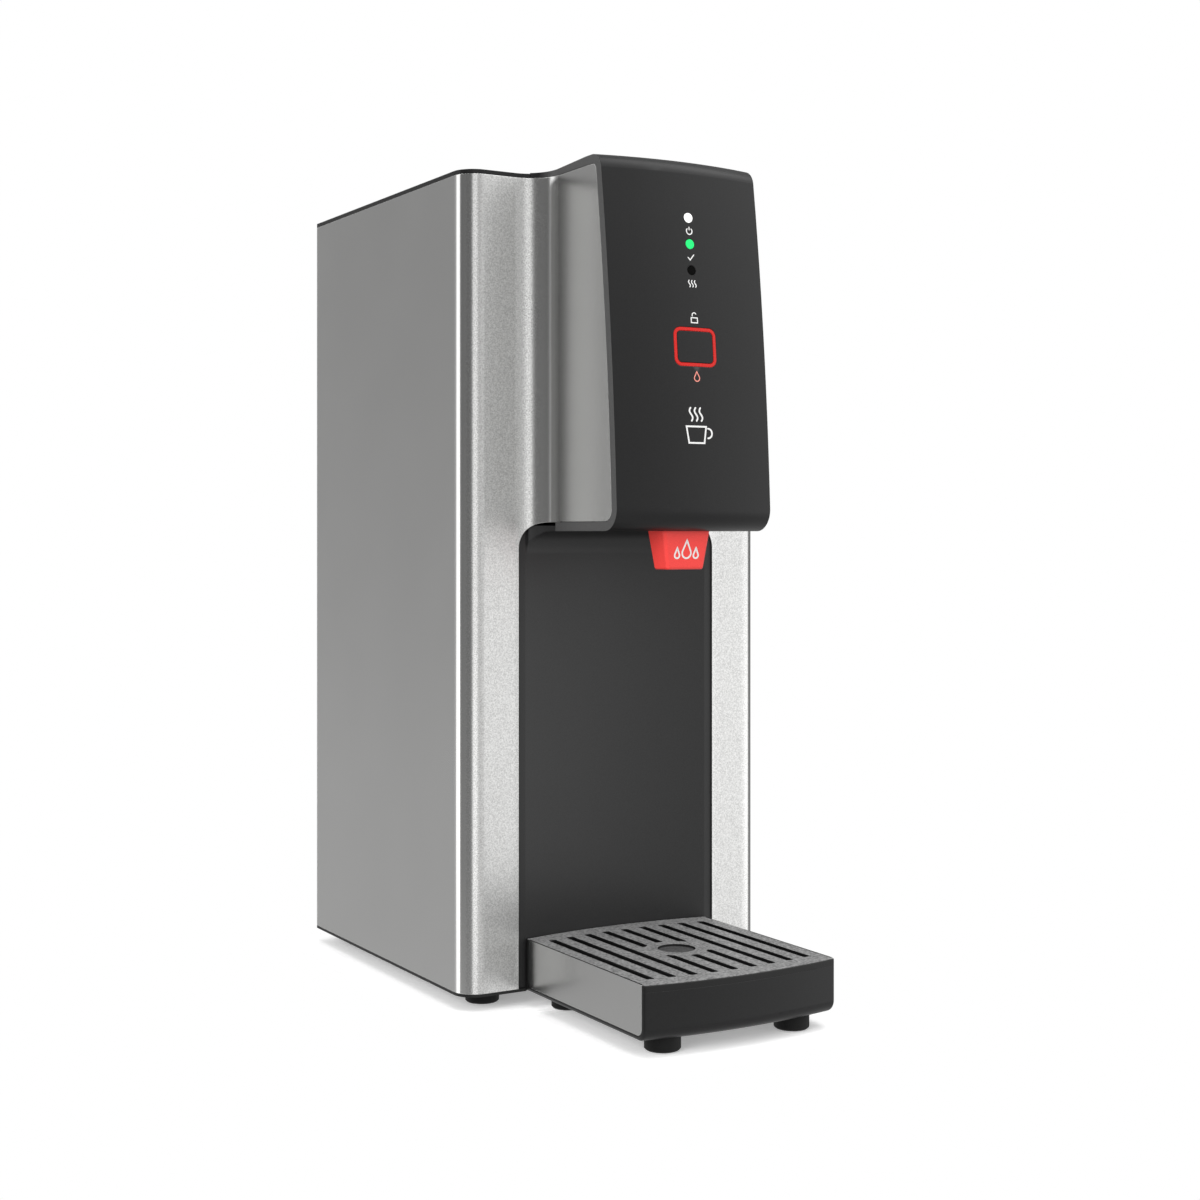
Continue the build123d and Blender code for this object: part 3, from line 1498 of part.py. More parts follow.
with BuildPart() as tray_base:
    with BuildSketch(Plane.XY.offset(foot_height)):
        add(tray_plan(tray_width / 2, corner=0))
    extrude(amount=tray_height - grate_thickness)
    fillet(tray_base.edges().group_by(Axis.Z)[0].sort_by(Axis.Y)[0], tray_front_roll)
    fillet(tray_base.edges().filter_by(Axis.Z), tray_corner)
    with BuildSketch(Plane.XY.offset(foot_height + tray_floor)):
        add(tray_plan(tray_width / 2, tray_wall))
    extrude(amount=tray_height, mode=Mode.SUBTRACT)
    floor_edges = tray_base.edges().filter_by_position(
        Axis.Z, foot_height + tray_floor, foot_height + tray_floor
    )
    fillet(floor_edges.sort_by(Axis.Y)[0], tray_front_roll - tray_wall)
    pocket_depth = tray_cheek_gauge + fit_gap
    for pocket_x in (-tray_width / 2, tray_width / 2 - pocket_depth):
        with BuildSketch(Plane.YZ.offset(pocket_x)):
            add(tray_cheek_outline(fit_gap))
        extrude(amount=pocket_depth, mode=Mode.SUBTRACT)
    with Locations(*[facing(x, y, foot_height, (0, 0, -1)) for x, y in tray_foot_places]):
        Hole(screw_radius + screw_clearance, depth=tray_floor)
save(tray_base, "tray_base")

with BuildPart() as tray_cheeks:
    for cheek_x in (-tray_width / 2, tray_width / 2 - tray_cheek_gauge):
        with BuildSketch(Plane.YZ.offset(cheek_x)):
            add(tray_cheek_outline(0))
        extrude(amount=tray_cheek_gauge)
save(tray_cheeks, "tray_cheeks")

tray_feet = foot_group(tray_foot_places)
save(tray_feet, "tray_feet")

tray_foot_screws = screw_group(
    [facing(x, y, foot_socket_depth, (0, 0, -1)) for x, y in tray_foot_places],
    foot_height - foot_socket_depth + tray_floor,
)
save(tray_foot_screws, "tray_foot_screws")

target_y = front_y + (panel_sag + steel_gauge - tray_gap - tray_reach) / 2
slot_field_half = tray_width / 2 + slot_border - slot_side_border
with BuildPart() as drip_grate:
    with BuildSketch(Plane.XY.offset(tub_top)):
        add(tray_plan(tray_width / 2))
    extrude(amount=grate_thickness)
    fillet(drip_grate.faces().sort_by(Axis.Z)[-1].edges(), grate_edge)
    for notch_x in (-tray_width / 2, tray_width / 2 - pocket_depth):
        with BuildSketch(Plane.YZ.offset(notch_x)):
            add(tray_cheek_outline(fit_gap))
        extrude(amount=pocket_depth, mode=Mode.SUBTRACT)
    with BuildSketch(Plane.XY.offset(tub_top)):
        add(tray_plan(tray_width / 2, tray_wall + grate_skirt_gap))
        add(tray_plan(tray_width / 2, tray_wall + grate_skirt_gap + grate_skirt_wall), mode=Mode.SUBTRACT)
    extrude(amount=-grate_skirt_depth)
    with BuildSketch(Plane.XY.offset(tray_top)) as slots:
        with Locations((0, target_y)):
            with GridLocations(slot_pitch, 0, slot_count, 1):
                Rectangle(slot_width, wide)
            Circle(target_clear_radius, mode=Mode.SUBTRACT)
        add(tray_plan(slot_field_half, slot_border), mode=Mode.INTERSECT)
        fillet(slots.vertices(), slot_round)
    extrude(amount=-2 * grate_thickness, mode=Mode.SUBTRACT)
    with BuildSketch(Plane.XY.offset(tray_top)):
        with Locations((0, target_y)):
            Circle(target_radius)
    extrude(amount=-target_depth, mode=Mode.SUBTRACT)
save(drip_grate, "drip_grate")
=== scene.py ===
import json
import math

import bmesh
import bpy
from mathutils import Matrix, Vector
from mathutils.bvhtree import BVHTree

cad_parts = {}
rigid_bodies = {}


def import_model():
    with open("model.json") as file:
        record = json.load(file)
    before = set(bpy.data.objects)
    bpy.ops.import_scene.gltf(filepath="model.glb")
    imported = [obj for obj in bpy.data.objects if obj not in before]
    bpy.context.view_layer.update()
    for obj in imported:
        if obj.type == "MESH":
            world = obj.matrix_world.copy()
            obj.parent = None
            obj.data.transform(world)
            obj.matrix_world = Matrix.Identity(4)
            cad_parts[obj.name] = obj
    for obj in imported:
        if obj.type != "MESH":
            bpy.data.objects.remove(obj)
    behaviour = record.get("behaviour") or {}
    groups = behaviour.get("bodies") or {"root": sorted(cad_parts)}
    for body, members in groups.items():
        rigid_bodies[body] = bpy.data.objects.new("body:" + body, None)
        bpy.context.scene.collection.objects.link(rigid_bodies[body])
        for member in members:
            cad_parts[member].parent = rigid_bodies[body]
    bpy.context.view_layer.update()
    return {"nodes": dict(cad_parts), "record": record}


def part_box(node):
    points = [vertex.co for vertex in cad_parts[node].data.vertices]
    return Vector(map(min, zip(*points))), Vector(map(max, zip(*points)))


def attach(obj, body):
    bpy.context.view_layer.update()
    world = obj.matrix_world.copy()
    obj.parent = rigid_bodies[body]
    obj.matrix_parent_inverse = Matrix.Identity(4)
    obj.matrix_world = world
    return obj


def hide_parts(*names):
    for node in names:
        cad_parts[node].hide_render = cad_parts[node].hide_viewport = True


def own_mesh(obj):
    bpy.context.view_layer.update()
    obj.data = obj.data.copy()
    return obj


# Countertop water dispenser: finishes, printed signs, studio and camera, in metres in the part's own frame

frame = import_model()
nodes = frame["nodes"]

MM = 0.001
WHITE = (1.0, 1.0, 1.0)


# Shader building blocks

EDGE_SAMPLES = 6


def new_finish(name):
    """Material with its principled shader, ready for its inputs."""
    material = bpy.data.materials.new(name)
    material.use_nodes = True
    tree = material.node_tree
    return material, tree, tree.nodes["Principled BSDF"]


def feed(tree, socket, value):
    """Link another output to a socket, or set the socket to a plain value."""
    if isinstance(value, bpy.types.NodeSocket):
        tree.links.new(value, socket)
    else:
        socket.default_value = value


def math_step(tree, operation, *values):
    """Number after one step of arithmetic."""
    node = tree.nodes.new("ShaderNodeMath")
    node.operation = operation
    for socket, value in zip(node.inputs, values):
        feed(tree, socket, value)
    return node.outputs["Value"]


def vector_step(tree, operation, vector, other=(0.0, 0.0, 0.0), output="Vector"):
    """Vector or number after one step of vector arithmetic."""
    node = tree.nodes.new("ShaderNodeVectorMath")
    node.operation = operation
    tree.links.new(vector, node.inputs[0])
    node.inputs[1].default_value = other
    return node.outputs[output]


def spread(tree, value, start, end, low=0.0, high=1.0, course="LINEAR"):
    """Number that runs from low to high while a value runs from start to end, and stays there beyond."""
    node = tree.nodes.new("ShaderNodeMapRange")
    node.interpolation_type = course
    node.inputs["From Min"].default_value = start
    node.inputs["From Max"].default_value = end
    node.inputs["To Min"].default_value = low
    node.inputs["To Max"].default_value = high
    tree.links.new(value, node.inputs["Value"])
    return node.outputs["Result"]


def axes(tree, vector):
    """Parts of a vector along X, Y and Z."""
    node = tree.nodes.new("ShaderNodeSeparateXYZ")
    tree.links.new(vector, node.inputs["Vector"])
    return node.outputs


def place(tree):
    """Point on the surface, in metres."""
    return tree.nodes.new("ShaderNodeTexCoord").outputs["Object"]


def facing(tree, kind):
    """Parts of the direction in which the surface looks: its Normal, or the True Normal of each facet."""
    return axes(tree, tree.nodes.new("ShaderNodeNewGeometry").outputs[kind])


def noise(tree, scale, detail):
    """Cloudy noise from 0 to 1, with a number of features per metre."""
    texture = tree.nodes.new("ShaderNodeTexNoise")
    texture.inputs["Scale"].default_value = scale
    texture.inputs["Detail"].default_value = detail
    tree.links.new(place(tree), texture.inputs["Vector"])
    return texture.outputs["Fac"]


def between(tree, factor, low, high):
    """Number that runs from low to high over the middle of a noise."""
    return spread(tree, factor, start=0.25, end=0.75, low=low, high=high)


def opaque(color):
    """Colour with full cover."""
    return (*color, 1)


def scaled(color, factor):
    """Colour made lighter or darker."""
    return tuple(min(channel * factor, 1.0) for channel in color)


def varied(tree, factor, color, low_tone, high_tone, start=0.3, end=0.7):
    """Colour that runs between two multiples of itself over the middle of a noise."""
    ramp = tree.nodes.new("ShaderNodeValToRGB")
    first, last = ramp.color_ramp.elements
    first.position = start
    first.color = opaque(scaled(color, low_tone))
    last.position = end
    last.color = opaque(scaled(color, high_tone))
    tree.links.new(factor, ramp.inputs["Fac"])
    return ramp.outputs["Color"]


def blend(tree, factor, first, second):
    """Colour that runs from a first to a second one with a factor."""
    node = tree.nodes.new("ShaderNodeMix")
    node.data_type = "RGBA"
    feed(tree, node.inputs["Factor"], factor)
    feed(tree, node.inputs["A"], first)
    feed(tree, node.inputs["B"], second)
    return node.outputs["Result"]


def soft_edges(tree, radius):
    """Normal with the sharp edges of a piece rounded."""
    node = tree.nodes.new("ShaderNodeBevel")
    node.samples = EDGE_SAMPLES
    node.inputs["Radius"].default_value = radius
    return node.outputs["Normal"]


def relief(tree, height, depth, strength, base=None):
    """Normal bumped by a height, on top of another normal if one is given."""
    node = tree.nodes.new("ShaderNodeBump")
    node.inputs["Distance"].default_value = depth
    node.inputs["Strength"].default_value = strength
    tree.links.new(height, node.inputs["Height"])
    if base is not None:
        tree.links.new(base, node.inputs["Normal"])
    return node.outputs["Normal"]


def dress(tree, shader, color, roughness, normal=None):
    """Link a shader to its colour, its roughness and, if one is given, its normal."""
    tree.links.new(color, shader.inputs["Base Color"])
    tree.links.new(roughness, shader.inputs["Roughness"])
    if normal is not None:
        tree.links.new(normal, shader.inputs["Normal"])


# Finishes

# Steel bends nearer the middle plane than the first distance are less polished and carry a weaker painted
# highlight than those past the second
INNER_BENDS = 68 * MM
OUTER_BENDS = 80 * MM
INNER_POLISH_AND_HIGHLIGHT = 0.5
BURNISH = 0.5
HIGHLIGHT_TONE = 1.45
BLAST_ROUGHNESS = 0.1

# Depths below the top of the grate between which its pale grain and painted sheen give way to painted shade,
# as in the hollow target
UNSHADED_DEPTH = 0.4 * MM
SHADED_DEPTH = 0.9 * MM
SHADED_SHARE = 0.27

MOULDED_LOW = 0.82
MOULDED_HIGH = 1.2


def bend_polish_and_highlight(tree, normal):
    """How far steel is rubbed smooth and painted lighter as a painted highlight: most on its outer bends,
    less on the inner ones, not on its flats.
    """
    slant = math_step(tree, "ABSOLUTE", math_step(tree, "MULTIPLY", normal["X"], normal["Y"]))
    rounded = spread(tree, slant, start=0.1, end=0.26)
    aside = math_step(tree, "ABSOLUTE", axes(tree, place(tree))["X"])
    outer = spread(tree, aside, start=INNER_BENDS, end=OUTER_BENDS, low=INNER_POLISH_AND_HIGHLIGHT)
    return math_step(tree, "MULTIPLY", rounded, outer)


def satin_sheet(name, color, roughness):
    """Stainless sheet with a fine sparkling grain where it looks forward, burnished along its bends, with a
    painted highlight on the bends that look sideways.
    """
    material, tree, shader = new_finish(name)
    sparkle = noise(tree, scale=1600.0, detail=1.0)
    clouds = noise(tree, scale=22.0, detail=3.0)
    normal = facing(tree, "Normal")
    forward = spread(tree, normal["Y"], start=-0.4, end=-0.95, low=0.1)
    polish_and_highlight = bend_polish_and_highlight(tree, normal)

    blasted_color = varied(tree, sparkle, color, low_tone=0.8, high_tone=1.2)
    sheet_color = blend(tree, forward, opaque(color), blasted_color)
    sideways = spread(tree, math_step(tree, "ABSOLUTE", normal["X"]), start=0.7, end=0.92)
    # Painted highlight: the colour is made lighter along the bends that look sideways
    painted_highlight = math_step(tree, "MULTIPLY", polish_and_highlight, sideways)
    highlighted_color = blend(tree, painted_highlight, sheet_color, opaque(scaled(color, HIGHLIGHT_TONE)))

    clouded = between(tree, clouds, low=roughness - 0.01, high=roughness + 0.01)
    blasted = math_step(tree, "MULTIPLY_ADD", forward, BLAST_ROUGHNESS, clouded)
    burnished = spread(tree, polish_and_highlight, start=0.0, end=1.0, low=1.0, high=BURNISH)
    polished = math_step(tree, "MULTIPLY", blasted, burnished)

    edges = soft_edges(tree, radius=0.35 * MM)
    surface = relief(tree, sparkle, depth=0.02 * MM, strength=0.3, base=edges)
    dress(tree, shader, highlighted_color, polished, surface)
    shader.inputs["Metallic"].default_value = 1.0
    return material


def worked_metal(name, color, roughness, grain):
    """Drawn, plated or machined metal with a fine even grain."""
    material, tree, shader = new_finish(name)
    marks = noise(tree, grain, detail=3.0)
    tone = varied(tree, marks, color, low_tone=0.92, high_tone=1.05)
    gloss = between(tree, marks, low=roughness - 0.05, high=roughness + 0.06)
    edges = soft_edges(tree, radius=0.3 * MM)
    surface = relief(tree, marks, depth=0.02 * MM, strength=0.25, base=edges)
    dress(tree, shader, tone, gloss, surface)
    shader.inputs["Metallic"].default_value = 1.0
    return material


def painted_side_sheen(tree, pores, tone, side_sheen_color):
    """Colour of a moulding whose faces that look sideways are painted a paler grey as a painted sheen."""
    sideways = math_step(tree, "ABSOLUTE", facing(tree, "True Normal")["X"])
    sheen_mask = spread(tree, sideways, start=0.7, end=0.97)
    return blend(tree, sheen_mask, tone, varied(tree, pores, side_sheen_color, MOULDED_LOW, MOULDED_HIGH))


def moulded_plastic(name, color, roughness, grain, depth=0.03, edge=0.5, specular=0.5, side_sheen_color=None):
    """Fine-grained moulding with uneven gloss and softened edges; depth and edge are in millimetres."""
    material, tree, shader = new_finish(name)
    pores = noise(tree, grain, detail=2.0)
    patches = noise(tree, scale=35.0, detail=4.0)
    tone = varied(tree, pores, color, MOULDED_LOW, MOULDED_HIGH)
    # Faces that look sideways get a painted sheen in a paler grey
    if side_sheen_color:
        tone = painted_side_sheen(tree, pores, tone, side_sheen_color)
    gloss = between(tree, patches, low=roughness - 0.015, high=roughness + 0.015)
    edges = soft_edges(tree, radius=edge * MM)
    surface = relief(tree, pores, depth=depth * MM, strength=0.35, base=edges)
    dress(tree, shader, tone, gloss, surface)
    shader.inputs["Specular IOR Level"].default_value = specular
    return material


def grain_and_sheen_plate(name, color, top_sheen_color, top, roughness):
    """Dark moulding whose upward faces carry a coarse grain painted pale as a painted sheen, dimmed by
    painted shade below the top, with bare edges and slots.
    """
    material, tree, shader = new_finish(name)
    grain = noise(tree, scale=720.0, detail=2.0)
    patches = noise(tree, scale=30.0, detail=4.0)
    # Painted sheen: faces that look up are painted a pale grey, less so below the top as painted shade
    upward = spread(tree, facing(tree, "True Normal")["Z"], start=0.75, end=0.98)
    height = axes(tree, place(tree))["Z"]
    sheen_outside_recess = spread(tree, height, start=top - SHADED_DEPTH, end=top - UNSHADED_DEPTH, low=SHADED_SHARE)
    sheen_and_grain_mask = math_step(tree, "MULTIPLY", upward, sheen_outside_recess)
    grain_and_sheen_color = varied(tree, grain, top_sheen_color, low_tone=0.45, high_tone=1.75)
    tone = blend(tree, sheen_and_grain_mask, opaque(color), grain_and_sheen_color)
    gloss = between(tree, patches, low=roughness - 0.05, high=roughness + 0.05)
    edges = soft_edges(tree, radius=0.5 * MM)
    surface = relief(tree, grain, depth=0.12 * MM, strength=0.5, base=edges)
    dress(tree, shader, tone, gloss, surface)
    shader.inputs["Specular IOR Level"].default_value = 0.3
    return material


def lit_plastic(name, color, glow, glow_strength, specular=0.3):
    """Clear moulding lit from behind, a little cloudy inside."""
    material, tree, shader = new_finish(name)
    haze = noise(tree, scale=900.0, detail=2.0)
    tone = varied(tree, haze, color, low_tone=0.94, high_tone=1.0)
    dress(tree, shader, tone, between(tree, haze, low=0.22, high=0.3))
    shader.inputs["Emission Color"].default_value = opaque(glow)
    shader.inputs["Emission Strength"].default_value = glow_strength
    shader.inputs["Specular IOR Level"].default_value = specular
    return material


def rubber(name, color, roughness, specular=0.5):
    """Dull moulded rubber with a dusty bloom."""
    material, tree, shader = new_finish(name)
    bloom = noise(tree, scale=260.0, detail=5.0)
    pores = noise(tree, scale=5200.0, detail=1.0)
    tone = varied(tree, bloom, color, low_tone=1.0, high_tone=1.6)
    gloss = between(tree, bloom, low=roughness - 0.06, high=roughness + 0.06)
    edges = soft_edges(tree, radius=0.4 * MM)
    surface = relief(tree, pores, depth=0.03 * MM, strength=0.4, base=edges)
    dress(tree, shader, tone, gloss, surface)
    shader.inputs["Specular IOR Level"].default_value = specular
    return material


def printed_ink(name, color):
    """Matt screen-printed ink with a slightly uneven film."""
    material, tree, shader = new_finish(name)
    film = noise(tree, scale=2400.0, detail=2.0)
    tone = varied(tree, film, color, low_tone=0.93, high_tone=1.0)
    surface = relief(tree, film, depth=0.01 * MM, strength=0.2)
    dress(tree, shader, tone, between(tree, film, low=0.5, high=0.62), surface)
    return material


def circuit_board(name, color):
    """Green laminate with a weave of paler tracks."""
    material, tree, shader = new_finish(name)
    cells = tree.nodes.new("ShaderNodeTexVoronoi")
    cells.feature = "DISTANCE_TO_EDGE"
    cells.inputs["Scale"].default_value = 220.0
    tree.links.new(place(tree), cells.inputs["Vector"])
    tracks = cells.outputs["Distance"]
    tone = varied(tree, tracks, color, low_tone=2.0, high_tone=1.0, start=0.05, end=0.09)
    dress(tree, shader, tone, between(tree, tracks, low=0.3, high=0.38))
    return material


def foam_sleeve(name, color):
    """Closed-cell foam."""
    material, tree, shader = new_finish(name)
    cells = noise(tree, scale=1400.0, detail=4.0)
    tone = varied(tree, cells, color, low_tone=0.6, high_tone=1.4)
    surface = relief(tree, cells, depth=0.2 * MM, strength=0.6)
    dress(tree, shader, tone, between(tree, cells, low=0.85, high=0.95), surface)
    return material


BLACK_MOULDING = (0.0075, 0.0075, 0.0077)
GRATE_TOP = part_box("drip_grate")[1].z

slot_finishes = {
    "steel": satin_sheet("steel", color=(0.62, 0.62, 0.612), roughness=0.24),
    "black_plastic": moulded_plastic(
        "black_plastic", BLACK_MOULDING, roughness=0.4, grain=1500.0, depth=0.04, specular=0.27
    ),
    # Grate: dark moulding with a painted sheen on its upward faces
    "grey_plastic": grain_and_sheen_plate(
        "grey_plastic",
        color=(0.006, 0.006, 0.006),
        top_sheen_color=(0.207, 0.207, 0.207),
        top=GRATE_TOP,
        roughness=0.5,
    ),
    "black_paint": moulded_plastic(
        "black_paint", (0.009, 0.009, 0.009), roughness=0.5, grain=1800.0, depth=0.04, edge=0.4, specular=0.3
    ),
    "red_plastic": moulded_plastic(
        "red_plastic", (0.98, 0.063, 0.055), roughness=0.36, grain=3600.0, depth=0.01, edge=0.6, specular=0.3
    ),
    "rubber": rubber("rubber", color=(0.004, 0.004, 0.004), roughness=0.62, specular=0.2),
    "white_lens": lit_plastic("white_lens", color=(0.8, 0.8, 0.78), glow=(1.0, 1.0, 0.98), glow_strength=0.9),
    "green_lens": lit_plastic(
        "green_lens", color=(0.003, 0.4, 0.08), glow=(0.004, 0.82, 0.19), glow_strength=0.75
    ),
    "dark_lens": lit_plastic(
        "dark_lens", color=(0.0012, 0.0012, 0.0012), glow=(0.0, 0.0, 0.0), glow_strength=0.0, specular=0.04
    ),
    "red_ring": lit_plastic(
        "red_ring", color=(0.42, 0.008, 0.005), glow=(0.75, 0.011, 0.007), glow_strength=0.27
    ),
    "zinc": worked_metal("zinc", color=(0.56, 0.57, 0.59), roughness=0.3, grain=1800.0),
    "spring_steel": worked_metal("spring_steel", color=(0.5, 0.5, 0.5), roughness=0.25, grain=4000.0),
    "tank_steel": worked_metal("tank_steel", color=(0.62, 0.62, 0.62), roughness=0.3, grain=900.0),
    "foam": foam_sleeve("foam", color=(0.08, 0.08, 0.085)),
    "silicone": rubber("silicone", color=(0.5, 0.48, 0.44), roughness=0.45),
    "brass": worked_metal("brass", color=(0.72, 0.52, 0.24), roughness=0.24, grain=1500.0),
    "board": circuit_board("board", color=(0.01, 0.12, 0.04)),
    "coil": moulded_plastic("coil", color=(0.02, 0.02, 0.022), roughness=0.3, grain=1600.0),
    "aluminium": worked_metal("aluminium", color=(0.7, 0.7, 0.72), roughness=0.32, grain=1400.0),
    "nylon": moulded_plastic("nylon", color=(0.016, 0.016, 0.016), roughness=0.42, grain=2600.0),
}

# Nodes that differ a little from the rest of their slot: a darker copy of the steel as painted shade on the
# tray cheeks, a painted sheen on the head cover's sideways faces, and a lighter copy of the black moulding as
# painted light on the splash panel
node_finishes = {
    # Painted shade: the tray cheeks get a darker copy of the steel
    "tray_cheeks": satin_sheet("painted_shade_cheek_steel", color=(0.54, 0.54, 0.533), roughness=0.24),
    # Head cover: the black moulding with a painted sheen on its faces that look sideways
    "head_front_cover": moulded_plastic(
        "side_sheen_head_plastic",
        BLACK_MOULDING,
        roughness=0.4,
        grain=1500.0,
        depth=0.04,
        specular=0.27,
        side_sheen_color=(0.06, 0.06, 0.06),
    ),
    # Painted light: the splash panel gets a lighter, glossier copy of the black moulding
    "splash_panel": moulded_plastic(
        "painted_light_splash_plastic", (0.014, 0.014, 0.0142), roughness=0.42, grain=1500.0, depth=0.04, specular=0.4
    ),
}

for part in frame["record"]["subparts"]:
    slots = nodes[part["node"]].data.materials
    slots.clear()
    slots.append(node_finishes.get(part["node"], slot_finishes[part["material_slot"]]))


# Springs


def return_spring(node, joint):
    """Copy of a spring's coil, carried by the parent body of its joint, in place of the node, which is
    hidden.
    """
    entry = next(item for item in frame["record"]["behaviour"]["joints"] if item["name"] == joint)
    coil = bpy.data.objects.new(node + "_coil", nodes[node].data.copy())
    bpy.context.scene.collection.objects.link(coil)
    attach(coil, entry["parent"])
    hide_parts(node)
    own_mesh(coil)


return_spring("button_spring", "button_press")
return_spring("dispense_valve_spring", "dispense_valve_lift")
return_spring("inlet_valve_spring", "inlet_valve_lift")


# Printed signs, drawn in millimetres with x to the right and z up

INK_HEIGHT = 0.08
INK_ROOT = 0.05
INK_STEP = 0.5
CURVE_STEPS = 24
DROP_STEPS = 36
SMALL_LINE = 0.55
LARGE_LINE = 0.9
MITRE_LIMIT = 0.5
FOLD_LIMIT = 0.1
END_TAPER = 0.45
LABEL_DROP = 6.2
UNLOCK_RISE = 15.0
DROP_FALL = 15.4
CUP_FALL = 40.0
PRINT_REACH = 50 * MM


def arc(x, z, radius, start, end, steps=CURVE_STEPS):
    """Points of an arc, its angles in degrees from the right, turning left."""
    angles = [math.radians(start + (end - start) * step / steps) for step in range(steps + 1)]
    return [Vector((x + radius * math.cos(angle), z + radius * math.sin(angle))) for angle in angles]


def run(*points):
    """Points of a straight-sided line."""
    return [Vector(point) for point in points]


def wave(x, low, high, swing):
    """Points of an upright wavy line of one full wave."""
    points = []
    for step in range(CURVE_STEPS + 1):
        sideways = swing * math.sin(2 * math.pi * step / CURVE_STEPS)
        points.append(Vector((x + sideways, low + (high - low) * step / CURVE_STEPS)))
    return points


def drop(x, z, radius, height):
    """Points of a closed drop: a round foot drawn up to a tip."""
    tip = Vector((x, z + height))
    lean = math.degrees(math.acos(radius / height))
    round_foot = arc(x, z, radius, start=90 + lean, end=450 - lean, steps=DROP_STEPS)
    return [tip] + round_foot


def even_points(points, closed):
    """Points set evenly along a line, close enough to follow a curved face."""
    ends = points + points[:1] if closed else points
    result = []
    for first, second in zip(ends, ends[1:]):
        count = max(1, math.ceil((second - first).length / INK_STEP))
        result += [first.lerp(second, step / count) for step in range(count)]
    return result if closed else result + [ends[-1]]


def sides(points, closed, line):
    """Left and right edge of a line with a width, mitred at its corners and tapered at its ends."""
    last = len(points) - 1
    pairs = []
    for index, point in enumerate(points):
        before = points[index - 1] if closed or index else point
        after = points[(index + 1) % len(points)] if closed or index < last else point
        ahead = (after - point).normalized() if after != point else (point - before).normalized()
        behind = (point - before).normalized() if before != point else ahead
        along = (ahead + behind).normalized() if (ahead + behind).length > FOLD_LIMIT else ahead
        across = Vector((-along.y, along.x))
        miter = max(across.dot(Vector((-ahead.y, ahead.x))), MITRE_LIMIT)
        half = line / 2 / miter
        if not closed and index in (0, last):
            half *= END_TAPER
        pairs.append((point + across * half, point - across * half))
    return pairs


class Face:
    """Front of a piece, on which signs are printed."""

    def __init__(self, node):
        self.tree = BVHTree.FromObject(nodes[node], bpy.context.evaluated_depsgraph_get())
        self.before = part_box(node)[0].y - PRINT_REACH

    def above(self, x, z, lift):
        """Point a number of millimetres above the face, or below it where that is negative."""
        spot, out, _, _ = self.tree.ray_cast(Vector((x, self.before, z)), Vector((0, 1, 0)))
        return spot + out * lift * MM


def add_object(name, mesh, material):
    """Object made of a finished mesh and one material."""
    data = bpy.data.meshes.new(name)
    mesh.to_mesh(data)
    mesh.free()
    data.materials.append(material)
    made = bpy.data.objects.new(name, data)
    bpy.context.scene.collection.objects.link(made)
    return made


def ink_line(mesh, rings, closed):
    """Skin of one printed line over its rings of corners, capped where the line is open."""
    pairs = list(zip(rings, rings[1:]))
    if closed:
        pairs.append((rings[-1], rings[0]))
    for first, second in pairs:
        for side in range(len(first)):
            turn = (side + 1) % len(first)
            mesh.faces.new((first[side], first[turn], second[turn], second[side]))
    if not closed:
        mesh.faces.new(rings[0])
        mesh.faces.new(list(reversed(rings[-1])))


def print_sign(name, face, lines, level, ink):
    """Ink film on a face, about its middle line at a level: each line is (points, width, closed)."""
    mesh = bmesh.new()
    for points, line, closed in lines:
        rings = []
        for left, right in sides(even_points(points, closed), closed, line):
            corners = ((left, INK_HEIGHT), (right, INK_HEIGHT), (right, -INK_ROOT), (left, -INK_ROOT))
            spots = [face.above(corner.x * MM, level + corner.y * MM, lift) for corner, lift in corners]
            rings.append([mesh.verts.new(spot) for spot in spots])
        ink_line(mesh, rings, closed)
    bmesh.ops.recalc_face_normals(mesh, faces=mesh.faces)
    sign = add_object(name, mesh, ink)
    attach(sign, "cabinet")


def middle(node):
    """Middle of a node's box."""
    low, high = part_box(node)
    return (low + high) / 2


power_mark = [
    (arc(0, 0, radius=1.7, start=125, end=415), SMALL_LINE, False),
    (run((0, 0.4), (0, 2.4)), SMALL_LINE, False),
]
ready_mark = [(run((-1.9, 0.1), (-0.5, -1.4), (2.1, 1.7)), SMALL_LINE, False)]
heating_mark = [(wave(x, low=-1.9, high=1.9, swing=0.5), SMALL_LINE, False) for x in (-1.8, 0, 1.8)]
unlock_mark = [
    (run((-1.9, -2.0), (1.9, -2.0), (1.9, 0.6), (-1.9, 0.6)), SMALL_LINE, True),
    (run((-1.2, 1.2), (-1.2, 2.0)) + arc(0, 2.0, radius=1.2, start=180, end=20), SMALL_LINE, False),
]
dispense_mark = [(drop(0, -0.5, radius=1.6, height=3.4), SMALL_LINE, True)]
cup_outline = [
    (run((-7.5, -1.0), (-6.2, -9.5), (3.2, -9.5), (4.5, -1.0)), LARGE_LINE, True),
    (arc(5.6, -4.4, radius=2.5, start=100, end=-100), LARGE_LINE, False),
]
cup_steam = [(wave(x, low=1.6, high=9.0, swing=0.9), LARGE_LINE, False) for x in (-4.5, -1.5, 1.5)]
nozzle_mark = [
    (drop(0, -1.4, radius=2.7, height=6.6), LARGE_LINE, True),
    (drop(-5.8, -2.6, radius=1.5, height=3.8), LARGE_LINE, True),
    (drop(5.8, -2.6, radius=1.5, height=3.8), LARGE_LINE, True),
]

white_ink = printed_ink("white_ink", color=(0.86, 0.86, 0.85))
rose_ink = printed_ink("rose_ink", color=(0.86, 0.30, 0.24))

head_face = Face("head_front_cover")
for light, mark in (("power", power_mark), ("ready", ready_mark), ("heating", heating_mark)):
    label_level = middle(light + "_lens").z - LABEL_DROP * MM
    print_sign(light + "_sign", head_face, mark, label_level, white_ink)

